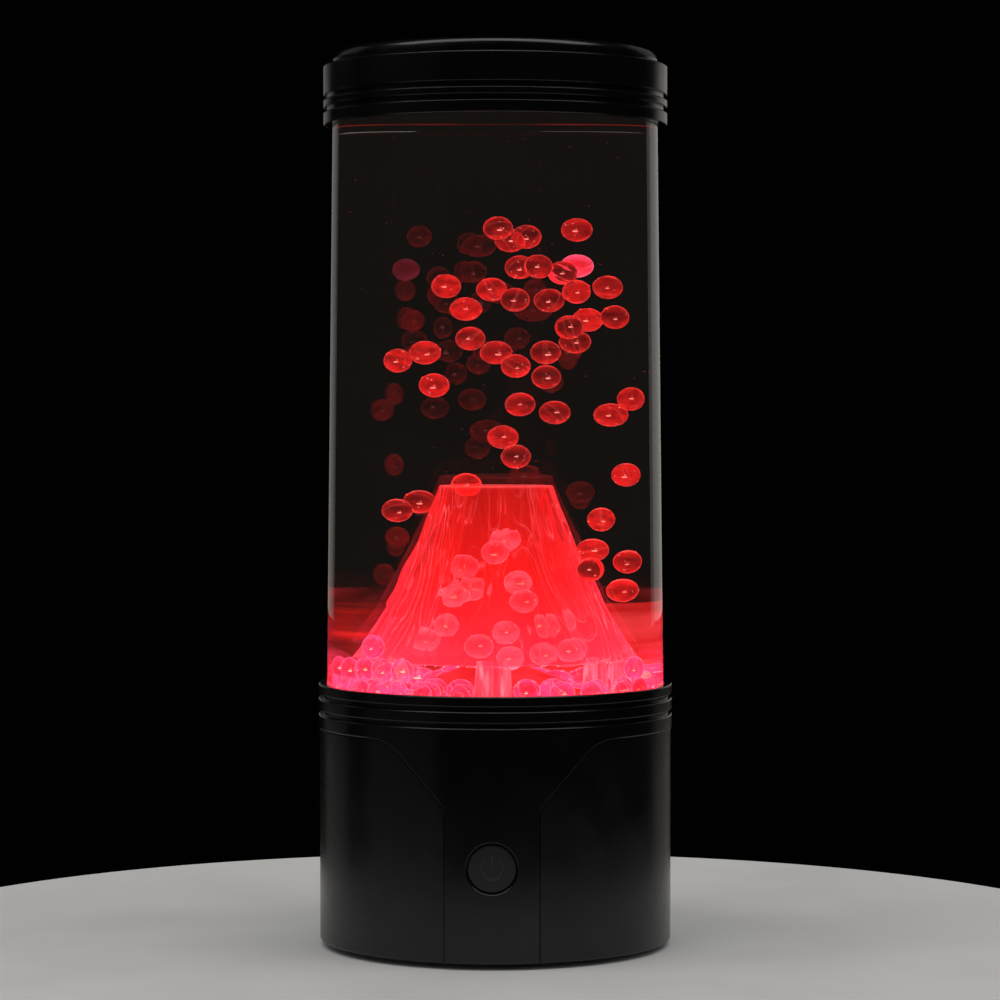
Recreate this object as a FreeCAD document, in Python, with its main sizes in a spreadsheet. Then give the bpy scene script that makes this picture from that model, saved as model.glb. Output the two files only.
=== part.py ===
import FreeCAD, Part
import math
import os
from types import SimpleNamespace

import Sketcher
from FreeCAD import Matrix, Rotation, Vector

# A bead fountain lamp. A clear, slightly tapered tank of water stands in a round black base.
# A magnetic pump under the tank floor blows plastic beads out of a lit, translucent lava cone.
# Millimetres, +Z up, the front button faces -Y, and Z = 0 is the surface that the feet stand on.

SIZES = {
    # Housing and bottom cover
    "foot_drop": 2.0,
    "foot_radius": 6.0,
    "foot_recess": 1.0,
    "foot_inset": 15.0,
    "foot_bevel": 0.6,
    "housing_radius": 65.0,
    "housing_height": 78.25,
    "housing_wall": 2.6,
    "housing_edge": 1.0,
    "seam": 0.25,
    "cover_thick": 2.5,
    "cover_inset": 0.4,
    "cover_gap": 0.3,
    "boss_inset": 6.9,
    "boss_radius": 4.0,
    "boss_height": 11.0,
    "boss_web": 2.0,
    "lug_thick": 2.3,
    "lug_width": 9.0,
    "lug_drop": 5.2,
    "board_post": 3.0,
    "pilot_end": 1.0,
    # Screws
    "screw_shank": 1.4,
    "screw_head": 2.7,
    "screw_cap": 1.6,
    "small_shank": 1.0,
    "small_head": 2.0,
    "small_cap": 1.3,
    "screw_clear": 0.3,
    "screw_fit": 0.05,
    "head_gap": 0.1,
    # Base collar
    "collar_lip": 0.4,
    "collar_wall": 2.8,
    "band_low": 5.1,
    "band_middle": 4.2,
    "band_high": 3.7,
    "groove_height": 1.65,
    "groove_depth": 1.4,
    "band_chamfer": 0.35,
    "shelf_width": 12.4,
    "shelf_thick": 2.5,
    "shelf_rise": 5.5,
    "spigot_gap": 0.3,
    "spigot_wall": 2.5,
    "post_inset": 5.4,
    "post_radius": 3.5,
    # Front apron and power button
    "strip_half": 16.8,
    "flare_drop": 23.3,
    "flare_angle": 48.3,
    "flare_round_low": 8.0,
    "flare_round_high": 12.0,
    "button_rise": 34.0,
    "button_radius": 8.6,
    "button_gap": 0.5,
    "button_bevel": 0.5,
    "button_recess": 0.6,
    "button_travel": 1.2,
    "hole_chamfer": 0.3,
    "flange_reach": 1.8,
    "flange_gap": 1.2,
    "flange_thick": 1.3,
    "stem_radius": 2.0,
    "stem_length": 1.0,
    "guide_gap": 0.6,
    "guide_wall": 1.8,
    "post_sunk": 2.1,
    "mark_radius": 4.15,
    "mark_line": 0.8,
    "mark_depth": 0.3,
    "mark_opening": 70.0,
    "switch_width": 12.0,
    "switch_depth": 3.6,
    "plunger_radius": 3.0,
    "plunger_gap": 0.2,
    "plunger_out": 1.8,
    "plunger_in": 0.9,
    "board_thick": 1.6,
    "switch_board_wide": 24.0,
    "switch_post": 3.0,
    # Tank and water
    "tank_gap": 0.2,
    "tank_draft": 2.5,
    "tank_height": 220.7,
    "tank_wall": 2.6,
    "tank_deck": 2.5,
    "tank_edge": 1.5,
    "fill_radius": 12.5,
    "seal_thick": 0.8,
    "floor_flange": 3.0,
    "floor_plug": 3.0,
    "floor_gap": 0.25,
    "cup_gap": 2.5,
    "cup_depth": 8.0,
    "cup_wall": 2.0,
    "hanger_inset": 4.0,
    "hanger_radius": 3.4,
    "hanger_pilot": 7.0,
    "air_gap": 3.0,
    "water_gap": 0.15,
    # Pump
    "pin_radius": 1.0,
    "pin_length": 13.0,
    "pin_seat": 2.0,
    "pin_boss": 3.0,
    "pin_boss_height": 1.0,
    "fixed_fit": 0.03,
    "running_fit": 0.06,
    "end_play": 0.3,
    "impeller_radius": 14.5,
    "impeller_disc": 3.3,
    "impeller_hub": 3.4,
    "blade_height": 5.4,
    "blade_thick": 1.4,
    "blade_inset": 0.3,
    "blade_root": 0.2,
    "hub_rise": 0.4,
    "magnet_inset": 6.0,
    "magnet_fit": 0.1,
    "water_magnet_radius": 3.0,
    "water_magnet_thick": 2.5,
    "dome_overlap": 3.5,
    "dome_flange": 3.5,
    "dome_flange_thick": 1.5,
    "dome_wall": 1.6,
    "dome_side": 5.5,
    "dome_rise": 6.5,
    "slot_width": 2.2,
    "slot_lift": 0.5,
    "slot_drop": 1.1,
    "nozzle_low": 8.5,
    "nozzle_high": 5.2,
    "nozzle_height": 14.0,
    # Lava cone and beads
    "crater_radius": 15.8,
    "trough_width": 21.1,
    "cone_height": 63.8,
    "crater_slope": 0.2365,
    "skirt_lift": 13.8,
    "cone_wall": 1.7,
    "ridge_high": 0.5,
    "ridge_low": 1.25,
    "leg_width": 11.0,
    "leg_thick": 2.3,
    "leg_inset": 1.7,
    "leg_overlap": 2.2,
    "bead_radius": 4.3,
    "bead_band": 0.06,
    "bead_band_height": 0.35,
    "pip_radius": 0.5,
    "pip_length": 0.25,
    "bead_film": 0.04,
    "bead_gap": 0.6,
    # Carrier deck, light ring and motor
    "deck_thick": 2.5,
    "deck_rim": 2.1,
    "rim_gap": 0.2,
    "deck_drop": 8.5,
    "led_ring_gap": 4.0,
    "bracket_boss": 3.0,
    "bracket_boss_gap": 1.0,
    "led_ring_lift": 2.0,
    "led_screw_inset": 2.7,
    "led_post": 2.6,
    "bracket_boss_rise": 4.0,
    "wire_hole": 3.5,
    "led_side": 5.0,
    "led_high": 1.6,
    "magnet_gap": 1.5,
    "carrier_radius": 15.0,
    "carrier_thick": 4.5,
    "carrier_hub": 4.0,
    "carrier_drop": 2.2,
    "carrier_cap": 1.8,
    "drive_magnet_radius": 4.0,
    "drive_magnet_thick": 3.9,
    "motor_radius": 12.2,
    "motor_length": 30.0,
    "motor_skin": 1.0,
    "motor_nose": 4.2,
    "motor_nose_height": 1.4,
    "nose_gap": 2.4,
    "shaft_radius": 1.0,
    "bush_thick": 1.0,
    "bell_thick": 4.0,
    "bell_plug": 2.0,
    "bell_floor": 1.5,
    "terminal_width": 2.4,
    "terminal_thick": 0.6,
    "terminal_length": 4.0,
    "field_magnet_thick": 2.4,
    "field_magnet_start": 2.0,
    "field_magnet_end": 5.0,
    "commutator_radius": 2.8,
    "commutator_start": 0.6,
    "commutator_length": 3.5,
    "air_ring": 0.8,
    "bracket_plate": 2.2,
    "bracket_wall": 2.0,
    "bracket_room": 5.0,
    "bracket_screw_out": 3.0,
    "bracket_flange": 3.5,
    "bracket_flange_thick": 2.0,
    "bracket_bite": 4.0,
    "deck_bite": 6.0,
    "deck_ledge": 1.5,
    "motor_screw_ring": 8.0,
    # Control board and power socket
    "board_wide": 48.0,
    "board_deep": 42.0,
    "board_inset": 7.4,
    "board_lift": 7.1,
    "board_margin": 3.5,
    "socket_wide": 9.0,
    "socket_high": 11.0,
    "socket_deep": 13.2,
    "socket_axis": 6.5,
    "socket_inset": 1.9,
    "socket_nose": 3.9,
    "socket_nose_reach": 3.8,
    "socket_bore": 2.85,
    "socket_bore_depth": 10.0,
    "socket_gap": 0.3,
    "socket_pin": 1.05,
    "socket_pin_set_back": 1.0,
    "header_high": 7.0,
    "header_wide": 8.0,
    "header_deep": 5.0,
    "header_pitch": 14.0,
    "wire_radius": 0.65,
    "wire_pitch": 2.4,
    # Top collar, lid and filler plug
    "top_lip": 3.5,
    "top_height": 21.6,
    "top_overlap": 7.9,
    "top_gap": 0.3,
    "top_band_low": 4.5,
    "top_band_middle": 2.7,
    "top_groove": 1.9,
    "top_rim_wall": 3.4,
    "ledge_width": 2.5,
    "ledge_height": 7.5,
    "lid_gap": 0.3,
    "lid_height": 11.5,
    "lid_round": 3.2,
    "lid_wall": 2.5,
    "lid_skirt": 5.7,
    "ring_radius": 0.65,
    "plug_gap": 0.2,
    "plug_flange": 3.5,
    "plug_flange_thick": 2.0,
    "plug_depth": 4.3,
    "plug_wall": 2.3,
    "plug_knob": 6.5,
    "plug_knob_height": 5.5,
}

COVER_SCREW_ANGLES = (20, 160, 200, 340)
LUG_ANGLES = (45, 135, 225, 315)
BRACKET_ANGLES = (90, 210, 330)
LED_SCREW_ANGLES = (105, 225, 345)
PAIR = ((1, -1), (2, 1))

# Parts on the control board: width, depth, height, x, y behind the board's front edge, and turn.
CHIPS = {
    "motor_driver": (5.0, 6.0, 1.6, -13.0, 15.0, 0),
    "controller": (4.0, 10.0, 1.6, 13.0, 18.0, 90),
    "regulator": (6.5, 6.2, 2.3, -14.0, 27.0, 0),
}
# Radius, height, x and y behind the board's front edge.
CAPACITORS = {
    "large": (4.0, 11.5, 13.0, 29.0),
    "small": (2.5, 7.0, 0.0, 20.0),
}

LED_COUNT = 12
LEG_COUNT = 6
BLADE_COUNT = 6
SLOT_COUNT = 12

# The plume of floating beads: x, y and height above the crater's rim, for beads of 8.6 mm.
PLUME_BEAD_RADIUS = 4.3
PLUME = [
    (1, -10, 94), (4, 4, 90), (9, -6, 91), (22, 6, 94), (7, -4, 80), (13, -14, 80),
    (19, -2, 78), (21, 14, 81), (-14, -8, 73), (-1, 2, 72), (-8, 10, 65), (6, -12, 68),
    (15, 0, 68), (24, -10, 71), (31, 4, 73), (-7, -6, 54), (22, -12, 58), (25, 6, 61),
    (34, 0, 62), (21, 10, 53), (-28, -6, 46), (-19, 8, 49), (0, 10, 49), (6, -8, 44),
    (14, 0, 49), (15, -10, 40), (-17, 0, 37), (7, -2, 30), (16, 6, 27), (29, 18, 26),
    (38, 4, 32), (2, 4, 18), (6, -6, 11), (36, 6, 4), (-8, 2, 0.5), (-20, 13, -6),
    (-27, 4, -9), (31, -6, -12), (25, 14, -24), (29, -14, -30), (37, 4, -28), (33, 14, -39),
]

# Beads that the jet carries up inside the cone: x, y and height above the skirt, for beads of 8.6 mm.
RISING = [
    (3, -1, 44), (0, -11.5, 40), (-9, -10, 34.8), (7, -11, 29), (-12, -14, 24.3), (9, -18, 22.5),
    (-14.5, -17.5, 13.8), (3.5, -23, 11.4), (-4.5, -26.5, 6.5), (5, -24, 2.2), (15, -20.5, 3.4),
    (23, -13.5, 4.4), (-7, 13, 25.5), (14, 16, 12), (-19, 13, 7), (2, 23, 4),
]

# Resting beads, as angles round the tank from the front (positive towards +X), ring by ring.
WALL_RING_ANGLES = (
    -84, -74.5, -65, -55.5, -46, -36.5, -27, -11, 38, 53,
    64, 76, 105, 128, 152, 176, 190, 214, 243, 262)
CONE_RING_ANGLES = (-85, -73.5, -62, -50.5, -39, -27.5, 30, 47, 64, 140, 155, 170, 203, 230)
UNDER_SKIRT_ANGLES = (-39, -21, 21, 39, 90, 150, 210, 262)
SECOND_LAYER_ANGLES = (-79.5, -69, -58, -47.5, -37, 66)
THIRD_LAYER_ANGLES = (-55,)


class Size:
    """A length in millimetres, or an angle in degrees, with the sheet expression that gives it."""

    def __init__(self, value, text=None):
        self.value = float(value)
        self.text = text or f"({self.value!r})"

    def __add__(self, other):
        other = as_size(other)
        return Size(self.value + other.value, f"({self.text} + {other.text})")

    def __sub__(self, other):
        other = as_size(other)
        return Size(self.value - other.value, f"({self.text} - {other.text})")

    def __mul__(self, other):
        other = as_size(other)
        return Size(self.value * other.value, f"({self.text} * {other.text})")

    def __truediv__(self, other):
        other = as_size(other)
        return Size(self.value / other.value, f"({self.text} / {other.text})")

    def __radd__(self, other):
        return as_size(other) + self

    def __rsub__(self, other):
        return as_size(other) - self

    def __rmul__(self, other):
        return as_size(other) * self

    def __neg__(self):
        return Size(0) - self


def as_size(amount):
    return amount if isinstance(amount, Size) else Size(amount)


def sine(angle):
    return Size(math.sin(math.radians(angle.value)), f"sin({angle.text})")


def cosine(angle):
    return Size(math.cos(math.radians(angle.value)), f"cos({angle.text})")


def around(radius, angle):
    """The x and y of a place on a circle about the lamp's axis, at an angle from +X."""
    turn = math.radians(angle)
    return radius * math.cos(turn), radius * math.sin(turn)


def ring_places(radius, angles):
    """The number, x and y of each place on a circle about the lamp's axis."""
    return [(number, *around(radius, angle)) for number, angle in enumerate(angles, 1)]


def even_angles(count, first=0):
    return [first + 360 / count * step for step in range(count)]


doc = FreeCAD.newDocument("bead_fountain_lamp")
sheet = doc.addObject("Spreadsheet::Sheet", "Sizes")
for row, (alias, number) in enumerate(SIZES.items(), 1):
    sheet.set(f"A{row}", alias)
    sheet.set(f"B{row}", str(number))
    sheet.setAlias(f"B{row}", alias)
doc.recompute()
s = SimpleNamespace()
for alias, number in SIZES.items():
    setattr(s, alias, Size(number, f"Sizes.{alias}"))

# Heights of the main levels, from the feet upwards
z_housing = s.foot_drop
z_housing_top = z_housing + s.housing_height
z_cover = z_housing + s.cover_inset
z_cover_top = z_cover + s.cover_thick
z_button = z_housing + s.button_rise
z_collar = z_housing_top + s.seam
z_lug_top = z_collar - s.lug_drop
z_lug = z_lug_top - s.lug_thick
z_shelf = z_collar + s.shelf_rise
z_shelf_under = z_shelf - s.shelf_thick
z_collar_top = z_collar + s.band_low + s.band_middle + s.band_high + s.groove_height * 2
z_flange_top = z_shelf + s.floor_flange
z_floor = z_flange_top + s.floor_plug
z_tank = z_flange_top + s.seal_thick
z_tank_top = z_tank + s.tank_height
z_tank_roof = z_tank_top - s.tank_deck
z_water = z_tank_roof - s.air_gap
z_cup = z_floor - s.cup_depth
z_cup_under = z_cup - s.cup_wall
z_pin_boss = z_cup + s.pin_boss_height
z_impeller = z_pin_boss + s.end_play
z_deck = z_shelf_under - s.deck_drop
z_deck_top = z_deck + s.deck_thick
z_carrier_top = z_cup_under - s.magnet_gap
z_carrier = z_carrier_top - s.carrier_thick
z_motor_top = z_carrier - s.carrier_drop - s.nose_gap - s.motor_nose_height
z_motor = z_motor_top - s.motor_length
z_bell = z_motor - s.bell_thick
z_led_board = z_deck_top + s.led_ring_lift
z_led_board_top = z_led_board + s.board_thick
z_board = z_cover_top + s.board_lift
z_board_top = z_board + s.board_thick
z_socket = z_board_top + s.socket_axis
z_skirt = z_floor + s.skirt_lift
z_crater = z_skirt + s.cone_height
z_top_collar = z_tank_top - s.top_overlap
z_top_rim = z_top_collar + s.top_height
z_ledge = z_tank_top + s.ledge_height
z_lid_top = z_ledge + s.lid_height

# Radii and rings that neighbouring pieces share
housing_inner = s.housing_radius - s.housing_wall
foot_ring = s.housing_radius - s.foot_inset
boss_ring = housing_inner - s.boss_inset
post_ring = housing_inner - s.post_inset
collar_radius = s.housing_radius + s.collar_lip
collar_bore = collar_radius - s.collar_wall
tank_low = collar_bore - s.tank_gap
tank_high = tank_low - s.tank_draft
tank_taper = s.tank_draft / s.tank_height
shelf_inner = tank_low - s.shelf_width
hanger_ring = shelf_inner - s.hanger_inset
bracket_inner = s.carrier_radius + s.bracket_room
bracket_outer = bracket_inner + s.bracket_wall
bracket_ring = bracket_outer + s.bracket_screw_out
led_outer = hanger_ring - s.led_ring_gap
led_inner = bracket_ring + s.bracket_boss + s.bracket_boss_gap
led_middle = (led_outer + led_inner) / 2
led_screw_ring = led_outer - s.led_screw_inset
magnet_ring = s.carrier_radius - s.magnet_inset
motor_inner = s.motor_radius - s.motor_skin
skirt_radius = tank_low - s.tank_wall - s.trough_width
cup_radius = s.impeller_radius + s.cup_gap
dome_radius = cup_radius + s.dome_overlap
dome_foot = dome_radius + s.dome_flange
button_hole = s.button_radius + s.button_gap
button_flange = s.button_radius + s.flange_reach
guide_inner = button_flange + s.guide_gap
guide_outer = guide_inner + s.guide_wall
top_radius = tank_high + s.top_lip
top_seat = top_radius - s.top_rim_wall
ledge_inner = tank_high - s.ledge_width
lid_radius = top_seat - s.lid_gap
lid_plug = ledge_inner - s.lid_gap
board_back = housing_inner - s.board_inset
board_front = board_back - s.board_deep
header_line = board_front + s.header_deep
socket_mouth = housing_inner - s.socket_inset + s.socket_nose_reach
bead_spacing = s.bead_radius * 2 + s.bead_band + s.pip_length

# Depths behind the front of the apron, along +Y
apron_wall = collar_radius - housing_inner
flange_depth = apron_wall + s.flange_gap
stem_depth = flange_depth + s.flange_thick
plunger_depth = stem_depth + s.stem_length
switch_depth = plunger_depth + s.plunger_out
switch_board_depth = switch_depth + s.switch_depth
switch_board_back = switch_board_depth + s.board_thick
switch_post_offset = guide_outer + s.switch_post * 0.6


def tank_inner(height):
    """The tank's inner radius at a height, on its tapered wall."""
    return tank_low - s.tank_wall - (height - z_tank) * tank_taper


def bind(piece, path, amount):
    """Ties a property to the sheet, or sets it where it is a plain number of zero."""
    amount = as_size(amount)
    piece.setExpression(path, amount.text)


def place(piece, x=0, y=0, z=0, rotation=None):
    if rotation is not None:
        piece.Placement.Rotation = rotation
    for axis, amount in zip("xyz", (x, y, z)):
        bind(piece, f"Placement.Base.{axis}", amount)
    return piece


TO_BACK = Rotation(Vector(1, 0, 0), -90)


def cylinder(name, radius, height, x=0, y=0, z=0, rotation=None):
    piece = doc.addObject("Part::Cylinder", name)
    bind(piece, "Radius", radius)
    bind(piece, "Height", height)
    return place(piece, x, y, z, rotation)


def tube(name, outer, inner, height, x=0, y=0, z=0, rotation=None):
    rim = cylinder(f"{name}_outer", outer, height, x, y, z, rotation)
    bore = cylinder(f"{name}_bore", inner, height, x, y, z, rotation)
    return cut(name, rim, bore)


def rod_back(name, radius, depth, length, height=None):
    """A cylinder that runs back from a depth behind the front of the apron."""
    return cylinder(name, radius, length, 0, depth - collar_radius, height or z_button, TO_BACK)


def clear_hole(name, depth, x, y, z, small=False):
    """The room of a screw that passes through."""
    shank = s.small_shank if small else s.screw_shank
    return cylinder(name, shank + s.screw_clear, depth, x, y, z)


def pilot(name, depth, x, y, z, small=False):
    """The hole that a screw bites into."""
    shank = s.small_shank if small else s.screw_shank
    return cylinder(name, shank + s.screw_fit, depth, x, y, z)


def cone(name, radius_low, radius_high, height, x=0, y=0, z=0, rotation=None):
    piece = doc.addObject("Part::Cone", name)
    bind(piece, "Radius1", radius_low)
    bind(piece, "Radius2", radius_high)
    bind(piece, "Height", height)
    return place(piece, x, y, z, rotation)


def box(name, wide, deep, high, x=0, y=0, z=0, turn=0):
    """A box centred on x and y that rises from z, turned about its own upright axis."""
    piece = doc.addObject("Part::Box", name)
    wide, deep = as_size(wide), as_size(deep)
    bind(piece, "Length", wide)
    bind(piece, "Width", deep)
    bind(piece, "Height", high)
    half_wide, half_deep = wide / 2, deep / 2
    cos, sin = math.cos(math.radians(turn)), math.sin(math.radians(turn))
    corner_x = x - half_wide * cos + half_deep * sin
    corner_y = y - half_wide * sin - half_deep * cos
    return place(piece, corner_x, corner_y, z, Rotation(Vector(0, 0, 1), turn))


def fuse(name, *pieces):
    joined = doc.addObject("Part::MultiFuse", name)
    joined.Shapes = list(pieces)
    return joined


def cut(name, base, *tools):
    piece = doc.addObject("Part::Cut", name)
    piece.Base = base
    piece.Tool = tools[0] if len(tools) == 1 else fuse(f"{name}_tools", *tools)
    return piece


def common(name, first, second):
    piece = doc.addObject("Part::Common", name)
    piece.Base = first
    piece.Tool = second
    return piece


def group(name, *pieces):
    """Several separate solids that share one node."""
    together = doc.addObject("Part::Compound", name)
    together.Links = list(pieces)
    return together


def fixed_shape(name, shape):
    piece = doc.addObject("Part::Feature", name)
    piece.Shape = shape
    piece.Placement = FreeCAD.Placement()
    return piece


def origin_plane(body, role):
    return next(plane for plane in body.Origin.OriginFeatures if plane.Role == role)


def outline_sketch(body, name, corners):
    """A closed outline on the body's upright plane, each corner tied to the sheet."""
    sketch = body.newObject("Sketcher::SketchObject", name)
    sketch.AttachmentSupport = [(origin_plane(body, "XZ_Plane"), "")]
    sketch.MapMode = "FlatFace"
    corners = [(as_size(across), as_size(up)) for across, up in corners]
    points = [Vector(across.value, up.value, 0) for across, up in corners]
    for start, end in zip(points, points[1:] + points[:1]):
        sketch.addGeometry(Part.LineSegment(start, end), False)
    count = len(points)
    joins = [Sketcher.Constraint("Coincident", line, 2, (line + 1) % count, 1) for line in range(count)]
    sketch.addConstraint(joins)
    for line, corner in enumerate(corners):
        for direction, axis, amount in zip(("DistanceX", "DistanceY"), (-2, -1), corner):
            if amount.value == 0:
                sketch.addConstraint(Sketcher.Constraint("PointOnObject", line, 1, axis))
                continue
            rule = sketch.addConstraint(Sketcher.Constraint(direction, -1, 1, line, 1, amount.value))
            sketch.setExpression(f"Constraints[{rule}]", amount.text)
    return sketch


def turned(name, corners):
    """A body turned about the upright axis from an outline of (radius, height) corners."""
    body = doc.addObject("PartDesign::Body", name)
    sketch = outline_sketch(body, f"{name}_outline", corners)
    turn = body.newObject("PartDesign::Revolution", f"{name}_turn")
    turn.Profile = sketch
    turn.ReferenceAxis = (sketch, ["V_Axis"])
    turn.Angle = 360
    return body


def rounded(body, radius, picks):
    """Rounds the edges of the body's last feature that the test picks out."""
    doc.recompute()
    base = body.Tip
    names = [f"Edge{number}" for number, edge in enumerate(base.Shape.Edges, 1) if picks(edge)]
    fillet = body.newObject("PartDesign::Fillet", f"{base.Name}_round_{len(body.Group)}")
    fillet.Base = (base, names)
    bind(fillet, "Radius", radius)
    return body


def is_rim(edge, radius, height):
    circle = edge.Curve
    if not isinstance(circle, Part.Circle):
        return False
    return abs(circle.Radius - radius.value) < 1e-4 and abs(circle.Center.z - height.value) < 1e-4


def rim_at(radius, height):
    return lambda edge: is_rim(edge, radius, height)


def screw(name, shank, head, cap, length, x, y, z, upward=True):
    """A screw whose head bears on the height z, with its shank pointing up or down from there."""
    shank_z, head_z = (z, z - cap) if upward else (z - length, z)
    stem = cylinder(f"{name}_shank", shank, length, x, y, shank_z)
    top = cylinder(f"{name}_head", head, cap, x, y, head_z)
    return fuse(name, stem, top)


def screw_ring(name, radius, angles, z, length, upward=True):
    screws = []
    for number, x, y in ring_places(radius, angles):
        sizes = s.screw_shank, s.screw_head, s.screw_cap
        screws.append(screw(f"{name}_{number}", *sizes, length, x, y, z, upward))
    return group(name, *screws)


def small_screw(name, length, x, y, z):
    """A small screw that is driven down until its head bears on the height z."""
    return screw(name, s.small_shank, s.small_head, s.small_cap, length, x, y, z, upward=False)


def wire_path(points):
    """Straight runs joined by arcs as large as the runs on each side allow."""
    points = [Vector(*point) for point in points]
    edges = []
    start = points[0]
    for before, corner, after in zip(points, points[1:], points[2:]):
        entering = (corner - before).normalize()
        leaving = (after - corner).normalize()
        half_turn = entering.getAngle(leaving) / 2
        reach = 0.45 * min((corner - before).Length, (after - corner).Length)
        arc_start, arc_end = corner - entering * reach, corner + leaving * reach
        radius = reach / math.tan(half_turn)
        inward = (leaving - entering).normalize()
        middle = corner + inward * (math.hypot(radius, reach) - radius)
        edges.append(Part.LineSegment(start, arc_start).toShape())
        edges.append(Part.Arc(arc_start, middle, arc_end).toShape())
        start = arc_end
    edges.append(Part.LineSegment(start, points[-1]).toShape())
    return Part.Wire(edges)


def wire(points):
    path = wire_path(points)
    first = Vector(*points[0])
    circle = Part.Circle(first, Vector(*points[1]) - first, s.wire_radius.value)
    section = Part.Wire([circle.toShape()])
    return path.makePipeShell([section], True, False)


def rubber_feet():
    feet = []
    height = z_cover + s.foot_recess - s.foot_bevel
    for number, x, y in ring_places(foot_ring, LUG_ANGLES):
        name = f"foot_{number}"
        low = s.foot_radius - s.foot_bevel
        tread = cone(f"{name}_tread", low, s.foot_radius, s.foot_bevel, x, y, 0)
        pad = cylinder(f"{name}_pad", s.foot_radius, height, x, y, s.foot_bevel)
        feet.append(fuse(name, tread, pad))
    return group("rubber_feet", *feet)


def board_posts():
    """The number, x and y of the control board's four fixing points."""
    across = s.board_wide / 2 - s.board_margin
    back = board_back - s.board_margin
    front = board_front + s.board_margin
    return [(1, -across, back), (2, -across, front), (3, across, back), (4, across, front)]


def bottom_cover():
    plate = cylinder("cover_plate", housing_inner - s.cover_gap, s.cover_thick, z=z_cover)
    posts = []
    tools = []
    for number, x, y in board_posts():
        height = s.board_lift + s.cover_thick
        posts.append(cylinder(f"board_post_{number}", s.board_post, height, x, y, z_cover))
        tools.append(pilot(f"board_pilot_{number}", s.board_lift, x, y, z_cover_top, small=True))
    recess = s.foot_radius + s.screw_fit
    for number, x, y in ring_places(foot_ring, LUG_ANGLES):
        tools.append(cylinder(f"foot_recess_{number}", recess, s.foot_recess, x, y, z_cover))
    sink = s.screw_head + s.screw_clear
    for number, x, y in ring_places(boss_ring, COVER_SCREW_ANGLES):
        tools.append(clear_hole(f"cover_hole_{number}", s.cover_thick, x, y, z_cover))
        tools.append(cylinder(f"cover_sink_{number}", sink, s.cover_thick / 2, x, y, z_cover))
    return cut("bottom_cover", fuse("cover_with_posts", plate, *posts), *tools)


def cover_screws():
    seat = z_cover + s.cover_thick / 2
    cap = s.cover_thick / 2 - s.head_gap
    length = s.cover_thick / 2 + s.boss_height - s.pilot_end * 2
    screws = []
    for number, x, y in ring_places(boss_ring, COVER_SCREW_ANGLES):
        name = f"cover_screw_{number}"
        screws.append(screw(name, s.screw_shank, s.screw_head, cap, length, x, y, seat))
    return group("cover_screws", *screws)


def apron_prism(name, gap):
    """A prism towards the front with the apron's outline: a strip that flares out under the collar."""
    edge = z_collar - gap
    half = s.strip_half + gap
    lean = s.flare_angle
    low_z = z_collar - s.flare_drop - gap * (1 - sine(lean)) / cosine(lean)
    flare = s.flare_drop * cosine(lean) + gap * (1 - cosine(lean))
    high_x = s.strip_half + flare / sine(lean)
    wide = high_x + s.flare_round_high * 0.6
    top = z_collar + s.band_low / 2
    base = z_housing * 0.5
    corners = [(half, base), (half, low_z), (high_x, edge), (wide, edge), (wide, top)]
    mirrored = [(-across, up) for across, up in reversed(corners)]
    body = doc.addObject("PartDesign::Body", name)
    sketch = outline_sketch(body, f"{name}_outline", corners + mirrored)
    pad = body.newObject("PartDesign::Pad", f"{name}_pad")
    pad.Profile = sketch
    bind(pad, "Length", collar_radius * 1.05)

    def corner_at(across, up):
        def picks(edge_shape):
            middle = edge_shape.CenterOfMass
            off = (abs(middle.x) - across.value, middle.z - up.value, edge_shape.Length - pad.Length.Value)
            return max(map(abs, off)) < 1e-4
        return picks

    rounded(body, s.flare_round_low - gap, corner_at(half, low_z))
    rounded(body, s.flare_round_high + gap, corner_at(high_x, edge))
    return body


def base_housing():
    side = turned("housing_side", [
        (housing_inner, z_housing), (s.housing_radius, z_housing),
        (s.housing_radius, z_housing_top), (housing_inner, z_housing_top)])
    rounded(side, s.housing_edge, rim_at(s.housing_radius, z_housing))
    added = []
    tools = [apron_prism("housing_window", s.seam)]
    in_wall = housing_inner + s.housing_wall / 2
    web_length = in_wall - boss_ring
    for number, x, y in ring_places(boss_ring, COVER_SCREW_ANGLES):
        boss = cylinder(f"cover_boss_{number}", s.boss_radius, s.boss_height, x, y, z_cover_top)
        turn = COVER_SCREW_ANGLES[number - 1]
        x_web, y_web = around(boss_ring + web_length / 2, turn)
        sizes = web_length, s.boss_web, s.boss_height
        added += [boss, box(f"cover_web_{number}", *sizes, x_web, y_web, z_cover_top, turn)]
        depth = s.boss_height - s.pilot_end
        tools.append(pilot(f"cover_pilot_{number}", depth, x, y, z_cover_top))
    lug_length = in_wall - post_ring + s.post_radius
    for number, x, y in ring_places(post_ring, LUG_ANGLES):
        turn = LUG_ANGLES[number - 1]
        x_lug, y_lug = around(post_ring - s.post_radius + lug_length / 2, turn)
        sizes = lug_length, s.lug_width, s.lug_thick
        added.append(box(f"lug_{number}", *sizes, x_lug, y_lug, z_lug, turn))
        tools.append(clear_hole(f"lug_hole_{number}", s.lug_thick, x, y, z_lug))
    reach = s.socket_nose + s.socket_gap
    tools.append(cylinder("socket_hole", reach, s.housing_radius, 0, board_back, z_socket, TO_BACK))
    return cut("base_housing", fuse("housing_with_lugs", side, *added), *tools)


def banded_edge(radius, start, bands, groove):
    """The outer corners of a ring whose bands are parted by grooves, each band with bevelled edges."""
    bevel = s.band_chamfer
    corners = []
    low = start
    for number, height in enumerate(bands):
        high = low + height
        if number:
            corners += [(radius - s.groove_depth, low - groove), (radius - s.groove_depth, low)]
        corners += [(radius - bevel, low), (radius, low + bevel)]
        corners += [(radius, high - bevel), (radius - bevel, high)]
        low = high + groove
    return corners


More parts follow.
